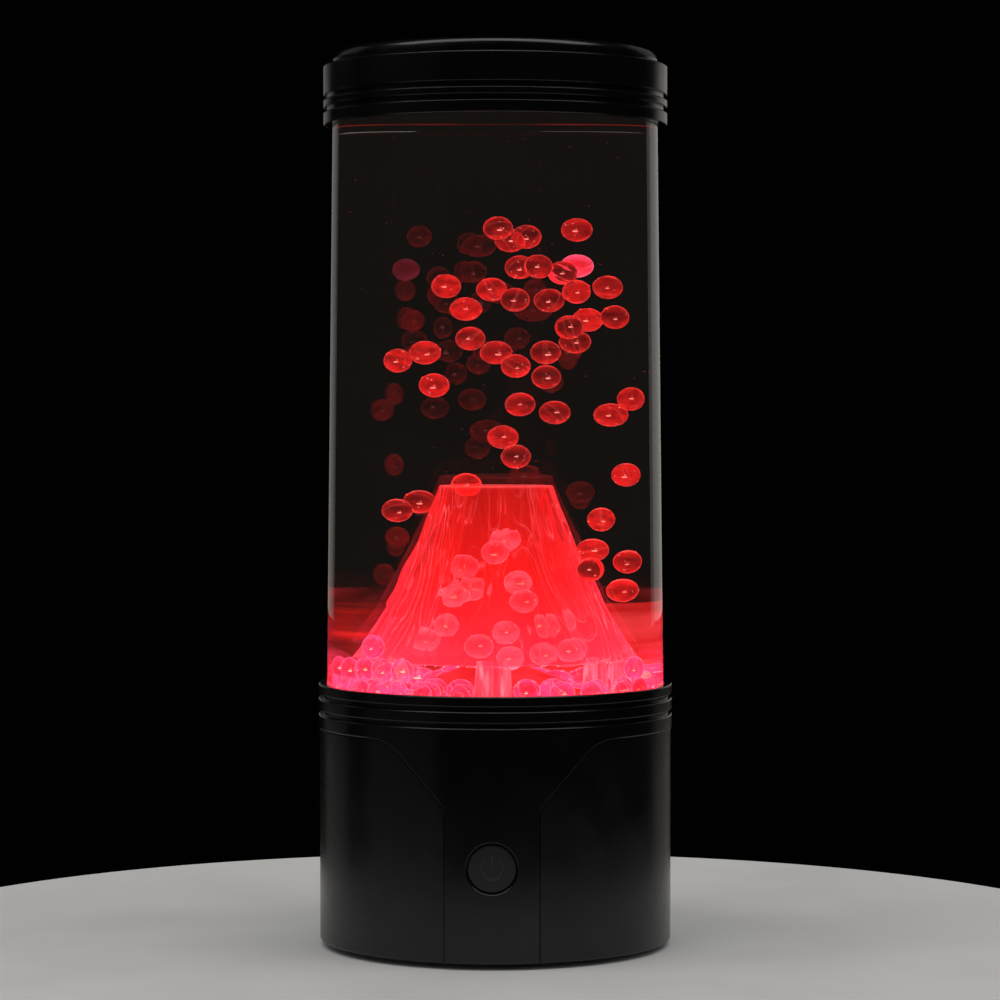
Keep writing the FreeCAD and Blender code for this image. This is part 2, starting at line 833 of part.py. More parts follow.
def apron_skin():
    """The apron, flush with the collar above it and a little proud of the housing beside it."""
    top = z_collar + s.band_low / 2
    wall = turned("apron_wall", [
        (housing_inner, z_housing), (collar_radius, z_housing),
        (collar_radius, top), (housing_inner, top)])
    rounded(wall, s.housing_edge, rim_at(collar_radius, z_housing))
    skin = common("apron_panel", apron_prism("apron_prism", Size(0)), wall)
    hole = rod_back("button_hole", button_hole, -apron_wall, s.housing_radius)
    holed = cut("apron_with_hole", skin, hole)
    doc.recompute()
    chamfer = doc.addObject("Part::Chamfer", "apron_chamfer")
    chamfer.Base = holed
    width = s.hole_chamfer.value
    edges = enumerate(holed.Shape.Edges, 1)
    chamfer.Edges = [(number, width, width) for number, edge in edges if is_hole_mouth(edge)]
    return chamfer


def is_hole_mouth(edge):
    """True for the edges where the button hole meets the apron's outer face."""
    first, last = edge.ParameterRange
    for step in (0.2, 0.5, 0.8):
        point = edge.valueAt(first + (last - first) * step)
        on_face = abs(math.hypot(point.x, point.y) - collar_radius.value) < 1e-3
        on_hole = abs(math.hypot(point.x, point.z - z_button.value) - button_hole.value) < 1e-3
        if not (on_face and on_hole and point.y < 0):
            return False
    return True


def base_collar():
    bands = (s.band_low, s.band_middle, s.band_high)
    ring = turned("collar_ring", [
        (collar_bore, z_collar), *banded_edge(collar_radius, z_collar, bands, s.groove_height),
        (collar_bore, z_collar_top), (collar_bore, z_shelf), (shelf_inner, z_shelf),
        (shelf_inner, z_shelf_under), (collar_bore, z_shelf_under)])
    outer = housing_inner - s.spigot_gap
    inner = outer - s.spigot_wall
    spigot_high = z_shelf_under - z_lug_top
    spigot_ring = tube("spigot_ring", outer, inner, spigot_high, z=z_lug_top)
    bridge_high = z_shelf_under - z_collar
    bridge = tube("collar_bridge", collar_bore + s.spigot_gap, inner, bridge_high, z=z_collar)
    spigot = cut("spigot", spigot_ring, apron_prism("spigot_window", s.seam))
    added = [spigot, bridge, apron_skin()]
    tools = []
    for number, x, y in ring_places(post_ring, LUG_ANGLES):
        added.append(cylinder(f"collar_post_{number}", s.post_radius, spigot_high, x, y, z_lug_top))
        tools.append(pilot(f"collar_pilot_{number}", spigot_high - s.pilot_end, x, y, z_lug_top))
    sunk = s.post_sunk
    guide = switch_depth + s.button_travel
    guide_tube = cut("button_guide", rod_back("guide_outside", guide_outer, sunk, guide - sunk),
                     rod_back("guide_inside", guide_inner, sunk, guide - sunk))
    added.append(guide_tube)
    bite = s.small_shank + s.screw_fit
    for number, side in PAIR:
        height = z_button + side * switch_post_offset
        length = switch_board_depth - sunk
        added.append(rod_back(f"switch_post_{number}", s.switch_post, sunk, length, height))
        length = switch_board_depth - apron_wall
        tools.append(rod_back(f"switch_pilot_{number}", bite, apron_wall, length, height))
    room = rod_back("flange_room", guide_inner, apron_wall + s.flange_gap / 2, switch_depth)
    return cut("base_collar", fuse("collar_with_apron", ring, *added), room, *tools)


def collar_screws():
    return screw_ring("collar_screws", post_ring, LUG_ANGLES, z_lug, s.lug_thick + s.lug_drop)


def power_button():
    face = s.button_recess
    cap = turned("button_cap", [
        (0, face), (s.button_radius - s.button_bevel, face),
        (s.button_radius, face + s.button_bevel), (s.button_radius, flange_depth),
        (button_flange, flange_depth), (button_flange, stem_depth), (s.stem_radius, stem_depth),
        (s.stem_radius, plunger_depth), (0, plunger_depth)])
    place(cap, 0, -collar_radius, z_button, TO_BACK)
    return cut("power_button", cap, *mark_solids("mark_pocket", s.screw_fit))


def mark_solids(name, gap):
    """The power sign: a ring that is open at the top, and an upright bar in the opening."""
    front = s.button_recess - collar_radius
    line = s.mark_line + gap * 2
    outer = s.mark_radius + gap
    pie = cylinder(f"{name}_pie", outer, s.mark_depth, y=front, z=z_button)
    bind(pie, "Angle", 360 - s.mark_opening)
    to_opening = Rotation(Vector(0, 0, 1), -90 + s.mark_opening.value / 2)
    pie.Placement.Rotation = TO_BACK.multiply(to_opening)
    core = rod_back(f"{name}_core", outer - line, s.button_recess, s.mark_depth)
    high = s.mark_radius * 1.1 + gap * 2
    bar = box(f"{name}_bar", line, s.mark_depth, high, 0, front + s.mark_depth / 2, z_button - gap)
    return cut(f"{name}_arc", pie, core), bar


def power_mark():
    return group("power_mark", *mark_solids("mark", Size(0)))


def switch_plunger():
    return rod_back("switch_plunger", s.plunger_radius, plunger_depth, s.plunger_out + s.plunger_in)


def push_switch():
    middle = switch_depth + s.switch_depth / 2 - collar_radius
    sizes = s.switch_width, s.switch_depth, s.switch_width
    case = box("switch_case", *sizes, 0, middle, z_button - s.switch_width / 2)
    room = s.plunger_radius + s.plunger_gap
    depth = s.plunger_in + s.button_travel + s.plunger_gap * 2
    return cut("push_switch", case, rod_back("switch_well", room, switch_depth, depth))


def switch_board():
    high = (switch_post_offset + s.switch_post) * 2
    middle = switch_board_depth + s.board_thick / 2 - collar_radius
    sizes = s.switch_board_wide, s.board_thick, high
    plate = box("switch_plate", *sizes, 0, middle, z_button - high / 2)
    holes = []
    for number, side in PAIR:
        height = z_button + side * switch_post_offset
        start = switch_board_depth - s.board_thick
        radius = s.small_shank + s.screw_clear
        holes.append(rod_back(f"switch_hole_{number}", radius, start, s.board_thick * 3, height))
    return cut("switch_board", plate, *holes)


def switch_board_screws():
    length = s.board_thick + s.guide_wall * 2
    screws = []
    for number, side in PAIR:
        height = z_button + side * switch_post_offset
        name = f"switch_screw_{number}"
        start = switch_board_back - length
        shank = rod_back(f"{name}_shank", s.small_shank, start, length, height)
        head = rod_back(f"{name}_head", s.small_head, switch_board_back, s.small_cap, height)
        screws.append(fuse(name, shank, head))
    return group("switch_board_screws", *screws)


def control_board():
    sizes = s.board_wide, s.board_deep, s.board_thick
    plate = box("control_plate", *sizes, 0, board_back - s.board_deep / 2, z_board)
    holes = []
    for number, x, y in board_posts():
        holes.append(clear_hole(f"control_hole_{number}", s.board_thick, x, y, z_board, small=True))
    return cut("control_board", plate, *holes)


def control_board_screws():
    length = s.board_thick + s.board_lift * 0.7
    screws = []
    for number, x, y in board_posts():
        screws.append(small_screw(f"control_screw_{number}", length, x, y, z_board_top))
    return group("control_board_screws", *screws)


def board_chips():
    chips = []
    for name, (wide, deep, high, x, y, turn) in CHIPS.items():
        chips.append(box(f"{name}_chip", wide, deep, high, x, board_front + y, z_board_top, turn))
    return group("board_chips", *chips)


def board_capacitors():
    cans = []
    for name, (radius, height, x, y) in CAPACITORS.items():
        cans.append(cylinder(f"{name}_capacitor", radius, height, x, board_front + y, z_board_top))
    return group("board_capacitors", *cans)


def wire_headers():
    headers = []
    sizes = s.header_wide, s.header_deep, s.header_high
    for name, side in (("motor", 0), ("led", 1), ("switch", -1)):
        across = side * s.header_pitch
        headers.append(box(f"{name}_header", *sizes, across, header_line, z_board_top))
    return group("wire_headers", *headers)


def dc_jack():
    back = housing_inner - s.socket_inset
    sizes = s.socket_wide, s.socket_deep, s.socket_high
    case = box("socket_case", *sizes, 0, back - s.socket_deep / 2, z_board_top)
    rooted = s.socket_nose_reach / 4
    length = s.socket_nose_reach + rooted
    nose = cylinder("socket_nose", s.socket_nose, length, 0, back - rooted, z_socket, TO_BACK)
    depth = s.socket_bore_depth
    bore = cylinder("socket_bore", s.socket_bore, depth, 0, socket_mouth - depth, z_socket, TO_BACK)
    return cut("dc_jack", fuse("socket_body", case, nose), bore)


def jack_pin():
    start = socket_mouth - s.socket_bore_depth
    length = s.socket_bore_depth - s.socket_pin_set_back
    return cylinder("jack_pin", s.socket_pin, length, 0, start, z_socket, TO_BACK)


def support_deck():
    rim_outer = shelf_inner + s.rim_gap + s.deck_rim
    deck_bore = bracket_inner - s.deck_ledge
    disc = turned("deck_disc", [
        (deck_bore, z_deck), (rim_outer, z_deck), (rim_outer, z_shelf_under),
        (rim_outer - s.deck_rim, z_shelf_under), (rim_outer - s.deck_rim, z_deck_top),
        (deck_bore, z_deck_top)])
    added = []
    tools = [cylinder("wire_hole", s.wire_hole, s.deck_thick, y=led_middle, z=z_deck)]
    boss_high = s.deck_thick + s.bracket_boss_rise
    for number, x, y in ring_places(bracket_ring, BRACKET_ANGLES):
        added.append(cylinder(f"bracket_boss_{number}", s.bracket_boss, boss_high, x, y, z_deck))
        tools.append(pilot(f"bracket_pilot_{number}", boss_high - s.pilot_end, x, y, z_deck))
    post_high = s.deck_thick + s.led_ring_lift
    for number, x, y in ring_places(led_screw_ring, LED_SCREW_ANGLES):
        added.append(cylinder(f"led_post_{number}", s.led_post, post_high, x, y, z_deck))
        tools.append(pilot(f"led_pilot_{number}", post_high, x, y, z_deck, small=True))
    for number, x, y in ring_places(hanger_ring, LUG_ANGLES):
        tools.append(clear_hole(f"deck_hole_{number}", s.deck_thick, x, y, z_deck))
    return cut("support_deck", fuse("deck_with_posts", disc, *added), *tools)


def deck_screws():
    return screw_ring("deck_screws", hanger_ring, LUG_ANGLES, z_deck, s.deck_thick + s.deck_bite)


def led_board():
    ring = tube("led_ring", led_outer, led_inner, s.board_thick, z=z_led_board)
    holes = []
    for number, x, y in ring_places(led_screw_ring, LED_SCREW_ANGLES):
        holes.append(clear_hole(f"led_hole_{number}", s.board_thick, x, y, z_led_board, small=True))
    return cut("led_board", ring, *holes)


def led_board_screws():
    length = s.board_thick + s.led_ring_lift + s.deck_thick * 0.6
    screws = []
    for number, x, y in ring_places(led_screw_ring, LED_SCREW_ANGLES):
        screws.append(small_screw(f"led_screw_{number}", length, x, y, z_led_board_top))
    return group("led_board_screws", *screws)


def leds():
    chips = []
    angles = even_angles(LED_COUNT)
    for number, x, y in ring_places(led_middle, angles):
        sizes = s.led_side, s.led_side, s.led_high
        chips.append(box(f"led_{number}", *sizes, x, y, z_led_board_top, angles[number - 1]))
    return group("leds", *chips)


def motor_can():
    bush_outer = s.shaft_radius + s.bush_thick
    nose_top = z_motor_top + s.motor_nose_height
    inside_top = z_motor_top - s.motor_skin
    case = turned("can_shell", [
        (bush_outer, inside_top), (motor_inner, inside_top), (motor_inner, z_motor),
        (s.motor_radius, z_motor), (s.motor_radius, z_motor_top), (s.motor_nose, z_motor_top),
        (s.motor_nose, nose_top), (bush_outer, nose_top)])
    holes = []
    for number, side in PAIR:
        across = side * s.motor_screw_ring
        holes.append(pilot(f"can_hole_{number}", s.motor_skin, across, 0, inside_top, small=True))
    return cut("motor_can", case, *holes)


def motor_bush():
    bore = s.shaft_radius + s.running_fit
    height = s.motor_skin + s.motor_nose_height
    outer = s.shaft_radius + s.bush_thick
    return tube("motor_bush", outer, bore, height, z=z_motor_top - s.motor_skin)


def field_magnets():
    low = z_motor + s.bell_plug + s.field_magnet_start
    high = z_motor_top - s.field_magnet_end
    ring = tube("field_ring", motor_inner, motor_inner - s.field_magnet_thick, high - low, z=low)
    gap = box("field_gap", s.motor_radius / 2, s.motor_radius * 2, high - low, z=low)
    return cut("field_magnets", ring, gap)


def motor_end_bell():
    bore = s.shaft_radius + s.running_fit
    bore_end = z_bell + s.bell_floor
    return turned("motor_end_bell", [
        (0, z_bell), (s.motor_radius, z_bell), (s.motor_radius, z_motor), (motor_inner, z_motor),
        (motor_inner, z_motor + s.bell_plug), (bore, z_motor + s.bell_plug), (bore, bore_end),
        (0, bore_end)])


def motor_terminals():
    tabs = []
    sizes = s.terminal_width, s.terminal_thick, s.terminal_length
    for number, side in PAIR:
        across = side * s.motor_radius / 2
        tabs.append(box(f"terminal_{number}", *sizes, across, 0, z_bell - s.terminal_length))
    return group("motor_terminals", *tabs)


def motor_shaft():
    low = z_bell + s.bell_floor + s.end_play
    return cylinder("motor_shaft", s.shaft_radius, z_carrier_top - s.carrier_cap - low, z=low)


def motor_armature():
    bore = s.shaft_radius + s.fixed_fit
    low = z_motor + s.bell_plug + s.commutator_start
    step = low + s.commutator_length
    high = z_motor_top - s.field_magnet_end
    core = motor_inner - s.field_magnet_thick - s.air_ring
    return turned("motor_armature", [
        (bore, low), (s.commutator_radius, low), (s.commutator_radius, step), (core, step),
        (core, high), (bore, high)])


def motor_bracket():
    nose_hole = s.motor_nose + s.screw_clear
    flange = bracket_ring + s.bracket_flange
    flange_under = z_deck - s.bracket_flange_thick
    plate_top = z_motor_top + s.bracket_plate
    hat = turned("bracket_hat", [
        (nose_hole, z_motor_top), (bracket_outer, z_motor_top), (bracket_outer, flange_under),
        (flange, flange_under), (flange, z_deck), (bracket_inner, z_deck),
        (bracket_inner, plate_top), (nose_hole, plate_top)])
    holes = []
    thick = s.bracket_flange_thick
    for number, x, y in ring_places(bracket_ring, BRACKET_ANGLES):
        holes.append(clear_hole(f"bracket_hole_{number}", thick, x, y, flange_under))
    for number, side in PAIR:
        across = side * s.motor_screw_ring
        name = f"motor_hole_{number}"
        holes.append(clear_hole(name, s.bracket_plate, across, 0, z_motor_top, small=True))
    return cut("motor_bracket", hat, *holes)


def bracket_screws():
    seat = z_deck - s.bracket_flange_thick
    length = s.bracket_flange_thick + s.bracket_bite
    return screw_ring("bracket_screws", bracket_ring, BRACKET_ANGLES, seat, length)


def motor_screws():
    screws = []
    length = s.bracket_plate + s.motor_skin * 0.9
    seat = z_motor_top + s.bracket_plate
    for number, side in PAIR:
        across = side * s.motor_screw_ring
        screws.append(small_screw(f"motor_screw_{number}", length, across, 0, seat))
    return group("motor_screws", *screws)


def magnet_pair(name, radius, thick, z):
    """Two upright round magnets, or their pockets, side by side across the motor's axis."""
    magnets = []
    for number, side in PAIR:
        magnets.append(cylinder(f"{name}_{number}", radius, thick, 0, side * magnet_ring, z))
    return magnets


def magnet_carrier():
    bore = s.shaft_radius + s.fixed_fit
    hub_under = z_carrier - s.carrier_drop
    bore_end = z_carrier_top - s.carrier_cap
    disc = turned("carrier_disc", [
        (0, z_carrier_top), (s.carrier_radius, z_carrier_top), (s.carrier_radius, z_carrier),
        (s.carrier_hub, z_carrier), (s.carrier_hub, hub_under), (bore, hub_under), (bore, bore_end),
        (0, bore_end)])
    room = s.drive_magnet_radius + s.magnet_fit
    thick = s.drive_magnet_thick
    pockets = magnet_pair("carrier_pocket", room, thick, z_carrier_top - thick)
    return cut("magnet_carrier", disc, *pockets)


def drive_magnets():
    thick = s.drive_magnet_thick
    magnets = magnet_pair("drive_magnet", s.drive_magnet_radius, thick, z_carrier_top - thick)
    return group("drive_magnets", *magnets)


def tank_floor():
    cup_outer = cup_radius + s.cup_wall
    hole = s.pin_radius + s.fixed_fit
    pin_foot = z_pin_boss - s.pin_seat
    plug_radius = tank_inner(z_floor) - s.floor_gap
    disc = turned("floor_disc", [
        (0, z_cup_under), (cup_outer, z_cup_under), (cup_outer, z_shelf), (tank_low, z_shelf),
        (tank_low, z_flange_top), (plug_radius, z_flange_top), (plug_radius, z_floor),
        (cup_radius, z_floor), (cup_radius, z_cup), (s.pin_boss, z_cup), (s.pin_boss, z_pin_boss),
        (hole, z_pin_boss), (hole, pin_foot), (0, pin_foot)])
    hangers = []
    pilots = []
    height = z_shelf - z_deck_top + s.floor_flange / 3
    for number, x, y in ring_places(hanger_ring, LUG_ANGLES):
        hangers.append(cylinder(f"hanger_{number}", s.hanger_radius, height, x, y, z_deck_top))
        pilots.append(pilot(f"hanger_pilot_{number}", s.hanger_pilot, x, y, z_deck_top))
    return cut("tank_floor", fuse("floor_with_hangers", disc, *hangers), *pilots)


def tank_seal():
    inner = tank_inner(z_tank) + s.floor_gap / 2
    return tube("tank_seal", tank_low - s.floor_gap, inner, s.seal_thick, z=z_flange_top)


def tank_shell():
    shell = turned("tank_shell", [
        (tank_low - s.tank_wall, z_tank), (tank_low, z_tank), (tank_high, z_tank_top),
        (s.fill_radius, z_tank_top), (s.fill_radius, z_tank_roof),
        (tank_inner(z_tank_roof), z_tank_roof)])
    rounded(shell, s.tank_edge, rim_at(tank_high, z_tank_top))
    return shell


def impeller_pin():
    return cylinder("impeller_pin", s.pin_radius, s.pin_length, z=z_pin_boss - s.pin_seat)


def impeller():
    bore = s.pin_radius + s.running_fit
    disc_top = z_impeller + s.impeller_disc
    hub_top = disc_top + s.blade_height + s.hub_rise
    rotor = turned("impeller_disc", [
        (bore, z_impeller), (s.impeller_radius, z_impeller), (s.impeller_radius, disc_top),
        (s.impeller_hub, disc_top), (s.impeller_hub, hub_top), (bore, hub_top)])
    root = s.blade_root
    length = s.impeller_radius - s.impeller_hub + root
    ring = s.impeller_radius - s.blade_inset - length / 2
    angles = even_angles(BLADE_COUNT, 180 / BLADE_COUNT)
    blades = []
    for number, x, y in ring_places(ring, angles):
        sizes = length, s.blade_thick, s.blade_height + root
        blades.append(box(f"blade_{number}", *sizes, x, y, disc_top - root, angles[number - 1]))
    room = s.water_magnet_radius + s.magnet_fit
    pockets = magnet_pair("impeller_pocket", room, s.water_magnet_thick, z_impeller)
    return cut("impeller", fuse("impeller_rotor", rotor, *blades), *pockets)


def impeller_magnets():
    magnets = magnet_pair("impeller_magnet", s.water_magnet_radius, s.water_magnet_thick, z_impeller)
    return group("impeller_magnets", *magnets)


def pump_cover():
    side_top = z_floor + s.dome_side
    dome_top = side_top + s.dome_rise
    tip = dome_top + s.nozzle_height
    wall = s.dome_wall
    foot_top = z_floor + s.dome_flange_thick
    dome = turned("pump_dome", [
        (dome_radius - wall, z_floor), (dome_foot, z_floor), (dome_foot, foot_top),
        (dome_radius, foot_top), (dome_radius, side_top), (s.nozzle_low, dome_top),
        (s.nozzle_high, tip), (s.nozzle_high - wall, tip),
        (s.nozzle_low - wall, dome_top - wall / 2), (dome_radius - wall, side_top - wall / 2)])
    slots = []
    low = foot_top + s.slot_lift
    high = side_top - s.slot_drop
    angles = even_angles(SLOT_COUNT)
    for number, x, y in ring_places(dome_radius, angles):
        sizes = wall * 4, s.slot_width, high - low
        slots.append(box(f"slot_{number}", *sizes, x, y, low, angles[number - 1]))
    return cut("pump_cover", dome, *slots)


def cone_radius(fall):
    """The lava cone's mean outer radius at a distance below the crater's rim: steep, then flaring."""
    height = s.cone_height.value
    spread = skirt_radius.value - s.crater_radius.value - s.crater_slope.value * height
    return s.crater_radius.value + s.crater_slope.value * fall + spread * (fall / height) ** 2


def lava_ridge(turn, fall):
    """How far the lava's flow ridges stand out, from -1 to 1, at an angle and a fall below the rim."""
    broad = 0.55 * math.cos(7 * turn + 0.9 * math.sin(fall / 14))
    middle = 0.30 * math.cos(13 * turn - fall / 17 + 1.0)
    fine = 0.15 * math.cos(22 * turn + fall / 9)
    return broad + middle + fine


def lava_section(fall):
    count = 132
    depth = s.ridge_high.value + (s.ridge_low.value - s.ridge_high.value) * fall / s.cone_height.value
    height = z_crater.value - fall
    points = []
    for step in range(count):
        turn = 2 * math.pi * step / count
        radius = cone_radius(fall) + depth * lava_ridge(turn, fall)
        points.append(Vector(radius * math.cos(turn), radius * math.sin(turn), height))
    curve = Part.BSplineCurve()
    curve.interpolate(points, PeriodicFlag=True)
    return Part.Wire([curve.toShape()])


def volcano():
    levels = 9
    height = s.cone_height.value
    falls = [height * level / (levels - 1) for level in range(levels)]
    outside = Part.makeLoft([lava_section(fall) for fall in falls], True, False)
    inset = s.cone_wall.value + s.ridge_low.value
    bore = [(cone_radius(fall) - inset, z_crater.value - fall) for fall in falls]
    past = s.cone_wall.value / 2
    bore[0] = (bore[0][0], bore[0][1] + past)
    bore[-1] = (bore[-1][0], bore[-1][1] - past)
    hollow = turned_shape([(0, bore[0][1]), *bore, (0, bore[-1][1])])
    shell = fixed_shape("lava_shell", outside.cut(hollow))
    legs = []
    angles = even_angles(LEG_COUNT, -90)
    for number, x, y in ring_places(skirt_radius - s.leg_inset - s.leg_thick / 2, angles):
        sizes = s.leg_thick, s.leg_width, s.skirt_lift + s.leg_overlap
        legs.append(box(f"leg_{number}", *sizes, x, y, z_floor, angles[number - 1]))
    return fuse("volcano", shell, *legs)


def bead_gate(film):
    """The stub of the gate, or the room for it with a film round it, opposite the ball surface's seam."""
    reach = s.bead_radius.value + s.pip_length.value + film
    return Part.makeCylinder(s.pip_radius.value + film, reach, Vector(0, 0, 0), Vector(-1, 0, 0))


def bead_shape():
    """One bead: a ball with a faint mould line round it and the stub of its gate on that line."""
    radius = s.bead_radius.value
    band_height = s.bead_band_height.value
    middle = Vector(0, 0, -band_height / 2)
    band = Part.makeCylinder(radius + s.bead_band.value, band_height, middle)
    return Part.makeSphere(radius).fuse([band, bead_gate(0)]).removeSplitter()


def bead_room():
    """The hollow that a bead leaves in the water."""
    film = s.bead_film.value
    ball = Part.makeSphere(s.bead_radius.value + s.bead_band.value + film)
    return ball.fuse(bead_gate(film))


def copies_at(shape, places):
    """Copies of a bead's shape at the places given, each turned its own way, its gate level or above."""
    copies = []
    for number, spot in enumerate(places):
        turned_way = Rotation(41 * number + 20, 61 * number % 70, 97 * number + 10)
        pose = FreeCAD.Placement(Vector(*spot), turned_way)
        copies.append(shape.transformed(pose.toMatrix(), True))
    return copies


def bead_group(name, places):
    return fixed_shape(name, Part.makeCompound(copies_at(bead_shape(), places)))


def clear_of_cone(x, y, height):
    """Moves a bead outwards where it would touch the lava cone's flank."""
    fall = z_crater.value - height
    if fall <= 0:
        return x, y
    room = cone_radius(fall) + s.ridge_low.value + s.bead_radius.value + s.bead_gap.value
    reach = math.hypot(x, y)
    return (x, y) if reach >= room else (x * room / reach, y * room / reach)


def floating_places():
    grow = s.bead_radius.value / PLUME_BEAD_RADIUS
    places = []
    for x, y, rise in PLUME:
        height = z_crater.value + rise * grow
        places.append((*clear_of_cone(x * grow, y * grow, height), height))
    return places


def resting_places():
    """Beads on the tank floor in rings, and beads that rest on those below them."""
    radius = s.bead_radius.value
    spacing = bead_spacing.value
    wall_ring = tank_inner(z_floor).value - (spacing + s.bead_gap.value) / 2
    cone_ring = wall_ring - spacing
    middle = (wall_ring + cone_ring) / 2
    under_ring = dome_foot.value + (spacing + s.bead_gap.value) / 2
    rings = [
        (wall_ring, WALL_RING_ANGLES), (cone_ring, CONE_RING_ANGLES), (under_ring, UNDER_SKIRT_ANGLES),
        (middle, SECOND_LAYER_ANGLES), (middle - radius / 2, THIRD_LAYER_ANGLES)]
    placed = []
    for ring, angles in rings:
        for angle in angles:
            x, y = around(ring, angle - 90)
            height = z_floor.value + radius + s.bead_band.value + s.bead_film.value / 2
            for other in placed:
                apart = math.hypot(x - other[0], y - other[1])
                if apart < spacing:
                    height = max(height, other[2] + math.sqrt(spacing ** 2 - apart ** 2))
            placed.append((x, y, height))
    return placed


def rising_places():
    """Beads inside the cone, each kept clear of its wall."""
    grow = s.bead_radius.value / PLUME_BEAD_RADIUS
    inset = s.cone_wall.value + s.ridge_low.value + s.bead_radius.value + s.bead_gap.value * 2
    places = []
    for x, y, rise in RISING:
        fall = s.cone_height.value - rise * grow
        room = (cone_radius(fall) - inset) / max(math.hypot(x, y) * grow, 1)
        shift = grow * min(1, room)
        places.append((x * shift, y * shift, z_crater.value - fall))
    return places


def turned_shape(outline):
    """A solid turned about the upright axis from (radius, height) corners."""
    profile = Part.makePolygon([Vector(across, 0, up) for across, up in [*outline, outline[0]]])
    return Part.Face(profile).revolve(Vector(0, 0, 0), Vector(0, 0, 1), 360)


def water():
    """The water above the tank floor, cut clear of the cone's whole inside and of each bead."""
    low = tank_inner(z_floor) - s.water_gap
    high = tank_inner(z_water) - s.water_gap
    column = cone("water_column", low, high, z_water - z_floor, z=z_floor)
    margin = s.ridge_low.value + s.bead_gap.value * 2 / 3
    falls = [s.cone_height.value * level / 4 for level in range(5)]
    flank = [(cone_radius(fall) + margin, z_crater.value - fall) for fall in falls]
    base = z_floor.value - s.bead_gap.value
    top = z_crater.value + s.bead_gap.value
    outline = [(0, base), (flank[-1][0], base), *reversed(flank), (flank[0][0], top), (0, top)]
    cone_room = fixed_shape("cone_room", turned_shape(outline))
    room = bead_room()
    rooms = [*copies_at(room, floating_places()), *copies_at(room, resting_places())]
    bead_rooms = fixed_shape("bead_rooms", rooms[0].fuse(rooms[1:]))
    return cut("water", column, cone_room, bead_rooms)


def wire_pair(name, route):
    """Two wires side by side; the route gives the points of the wire on each side, -1 and 1."""
    return fixed_shape(name, Part.makeCompound([wire(route(side)) for side in (-1, 1)]))


def motor_wires():
    start_y = header_line.value
    top = (z_board_top + s.header_high).value
    terminal = (z_bell - s.terminal_length / 2).value
    tab_face = (s.terminal_thick / 2 + s.fixed_fit).value
    bend = (terminal - top) * 0.7

    def route(side):
        shift = side * s.wire_pitch.value / 2
        tab = side * s.motor_radius.value / 2
        return [
            (shift, start_y, top), (shift, start_y, top + bend), (tab, start_y * 0.55, terminal),
            (tab, tab_face, terminal)]

    return wire_pair("motor_wires", route)


def led_wires():
    start_y = header_line.value
    top = (z_board_top + s.header_high).value
    climb = z_led_board.value - top
    riser = led_middle.value

    def route(side):
        shift = side * s.wire_pitch.value / 2
        start_x = s.header_pitch.value + shift
        return [
            (start_x, start_y, top), (start_x, start_y, top + climb * 0.3),
            (shift, riser, top + climb * 0.6), (shift, riser, z_led_board.value)]

    return wire_pair("led_wires", route)


def switch_wires():
    start_y = header_line.value
    top = (z_board_top + s.header_high).value
    board = (switch_board_back - collar_radius).value
    solder_x = -s.switch_width.value * 0.4
    solder_z = (z_button - s.switch_width * 0.75).value
    reach = start_y - board

    def route(side):
        shift = side * s.wire_pitch.value / 2
        start_x = shift - s.header_pitch.value
        return [
            (start_x, start_y, top), (start_x, start_y, top + reach * 0.11),
            (start_x * 1.2, start_y - reach * 0.31, solder_z - reach * 0.08),
            (solder_x + shift, board + reach * 0.13, solder_z), (solder_x + shift, board, solder_z)]

    return wire_pair("switch_wires", route)


def top_collar():
    bore = tank_inner(z_top_collar) + s.tank_wall + s.top_gap
    band_high = s.top_height - s.top_band_low - s.top_band_middle - s.top_groove * 2
    bands = (s.top_band_low, s.top_band_middle, band_high)
    return turned("top_collar", [
        (bore, z_top_collar), *banded_edge(top_radius, z_top_collar, bands, s.top_groove),
        (top_seat, z_top_rim), (top_seat, z_ledge), (ledge_inner, z_ledge), (ledge_inner, z_tank_top),
        (bore, z_tank_top)])


def ring_groove():
    """The radius and height of the centre of the lid's sealing ring, which just meets the ledge."""
    return ledge_inner - s.fixed_fit - s.ring_radius, z_ledge - s.lid_skirt / 2


def lid():
    centre, middle = ring_groove()
    half = s.ring_radius + s.head_gap
    depth = centre - s.ring_radius - s.fixed_fit
    skirt_end = z_ledge - s.lid_skirt
    inside = lid_plug - s.lid_wall
    roof = z_lid_top - s.lid_wall
    cover = turned("lid", [
        (0, z_lid_top), (lid_radius, z_lid_top), (lid_radius, z_ledge), (lid_plug, z_ledge),
        (lid_plug, middle + half), (depth, middle + half), (depth, middle - half),
        (lid_plug, middle - half), (lid_plug, skirt_end), (inside, skirt_end), (inside, roof),
        (0, roof)])
    rounded(cover, s.lid_round, rim_at(lid_radius, z_lid_top))
    return cover


def lid_seal():
    centre, middle = ring_groove()
    ring = doc.addObject("Part::Torus", "lid_seal")
    bind(ring, "Radius1", centre)
    bind(ring, "Radius2", s.ring_radius)
    return place(ring, 0, 0, middle)


def filler_plug():
    outer = s.fill_radius - s.plug_gap
    flange = s.fill_radius + s.plug_flange
    low = z_tank_top - s.plug_depth
    flange_top = z_tank_top + s.plug_flange_thick
    top = flange_top + s.plug_knob_height
    neck = s.plug_knob * 0.6
    knob_under = top - s.plug_knob_height / 2
    inner = outer - s.plug_wall
    return turned("filler_plug", [
        (0, top), (s.plug_knob, top), (s.plug_knob, knob_under), (neck, knob_under),
        (neck, flange_top), (flange, flange_top), (flange, z_tank_top), (outer, z_tank_top),
        (outer, low), (inner, low), (inner, z_tank_top), (0, z_tank_top)])


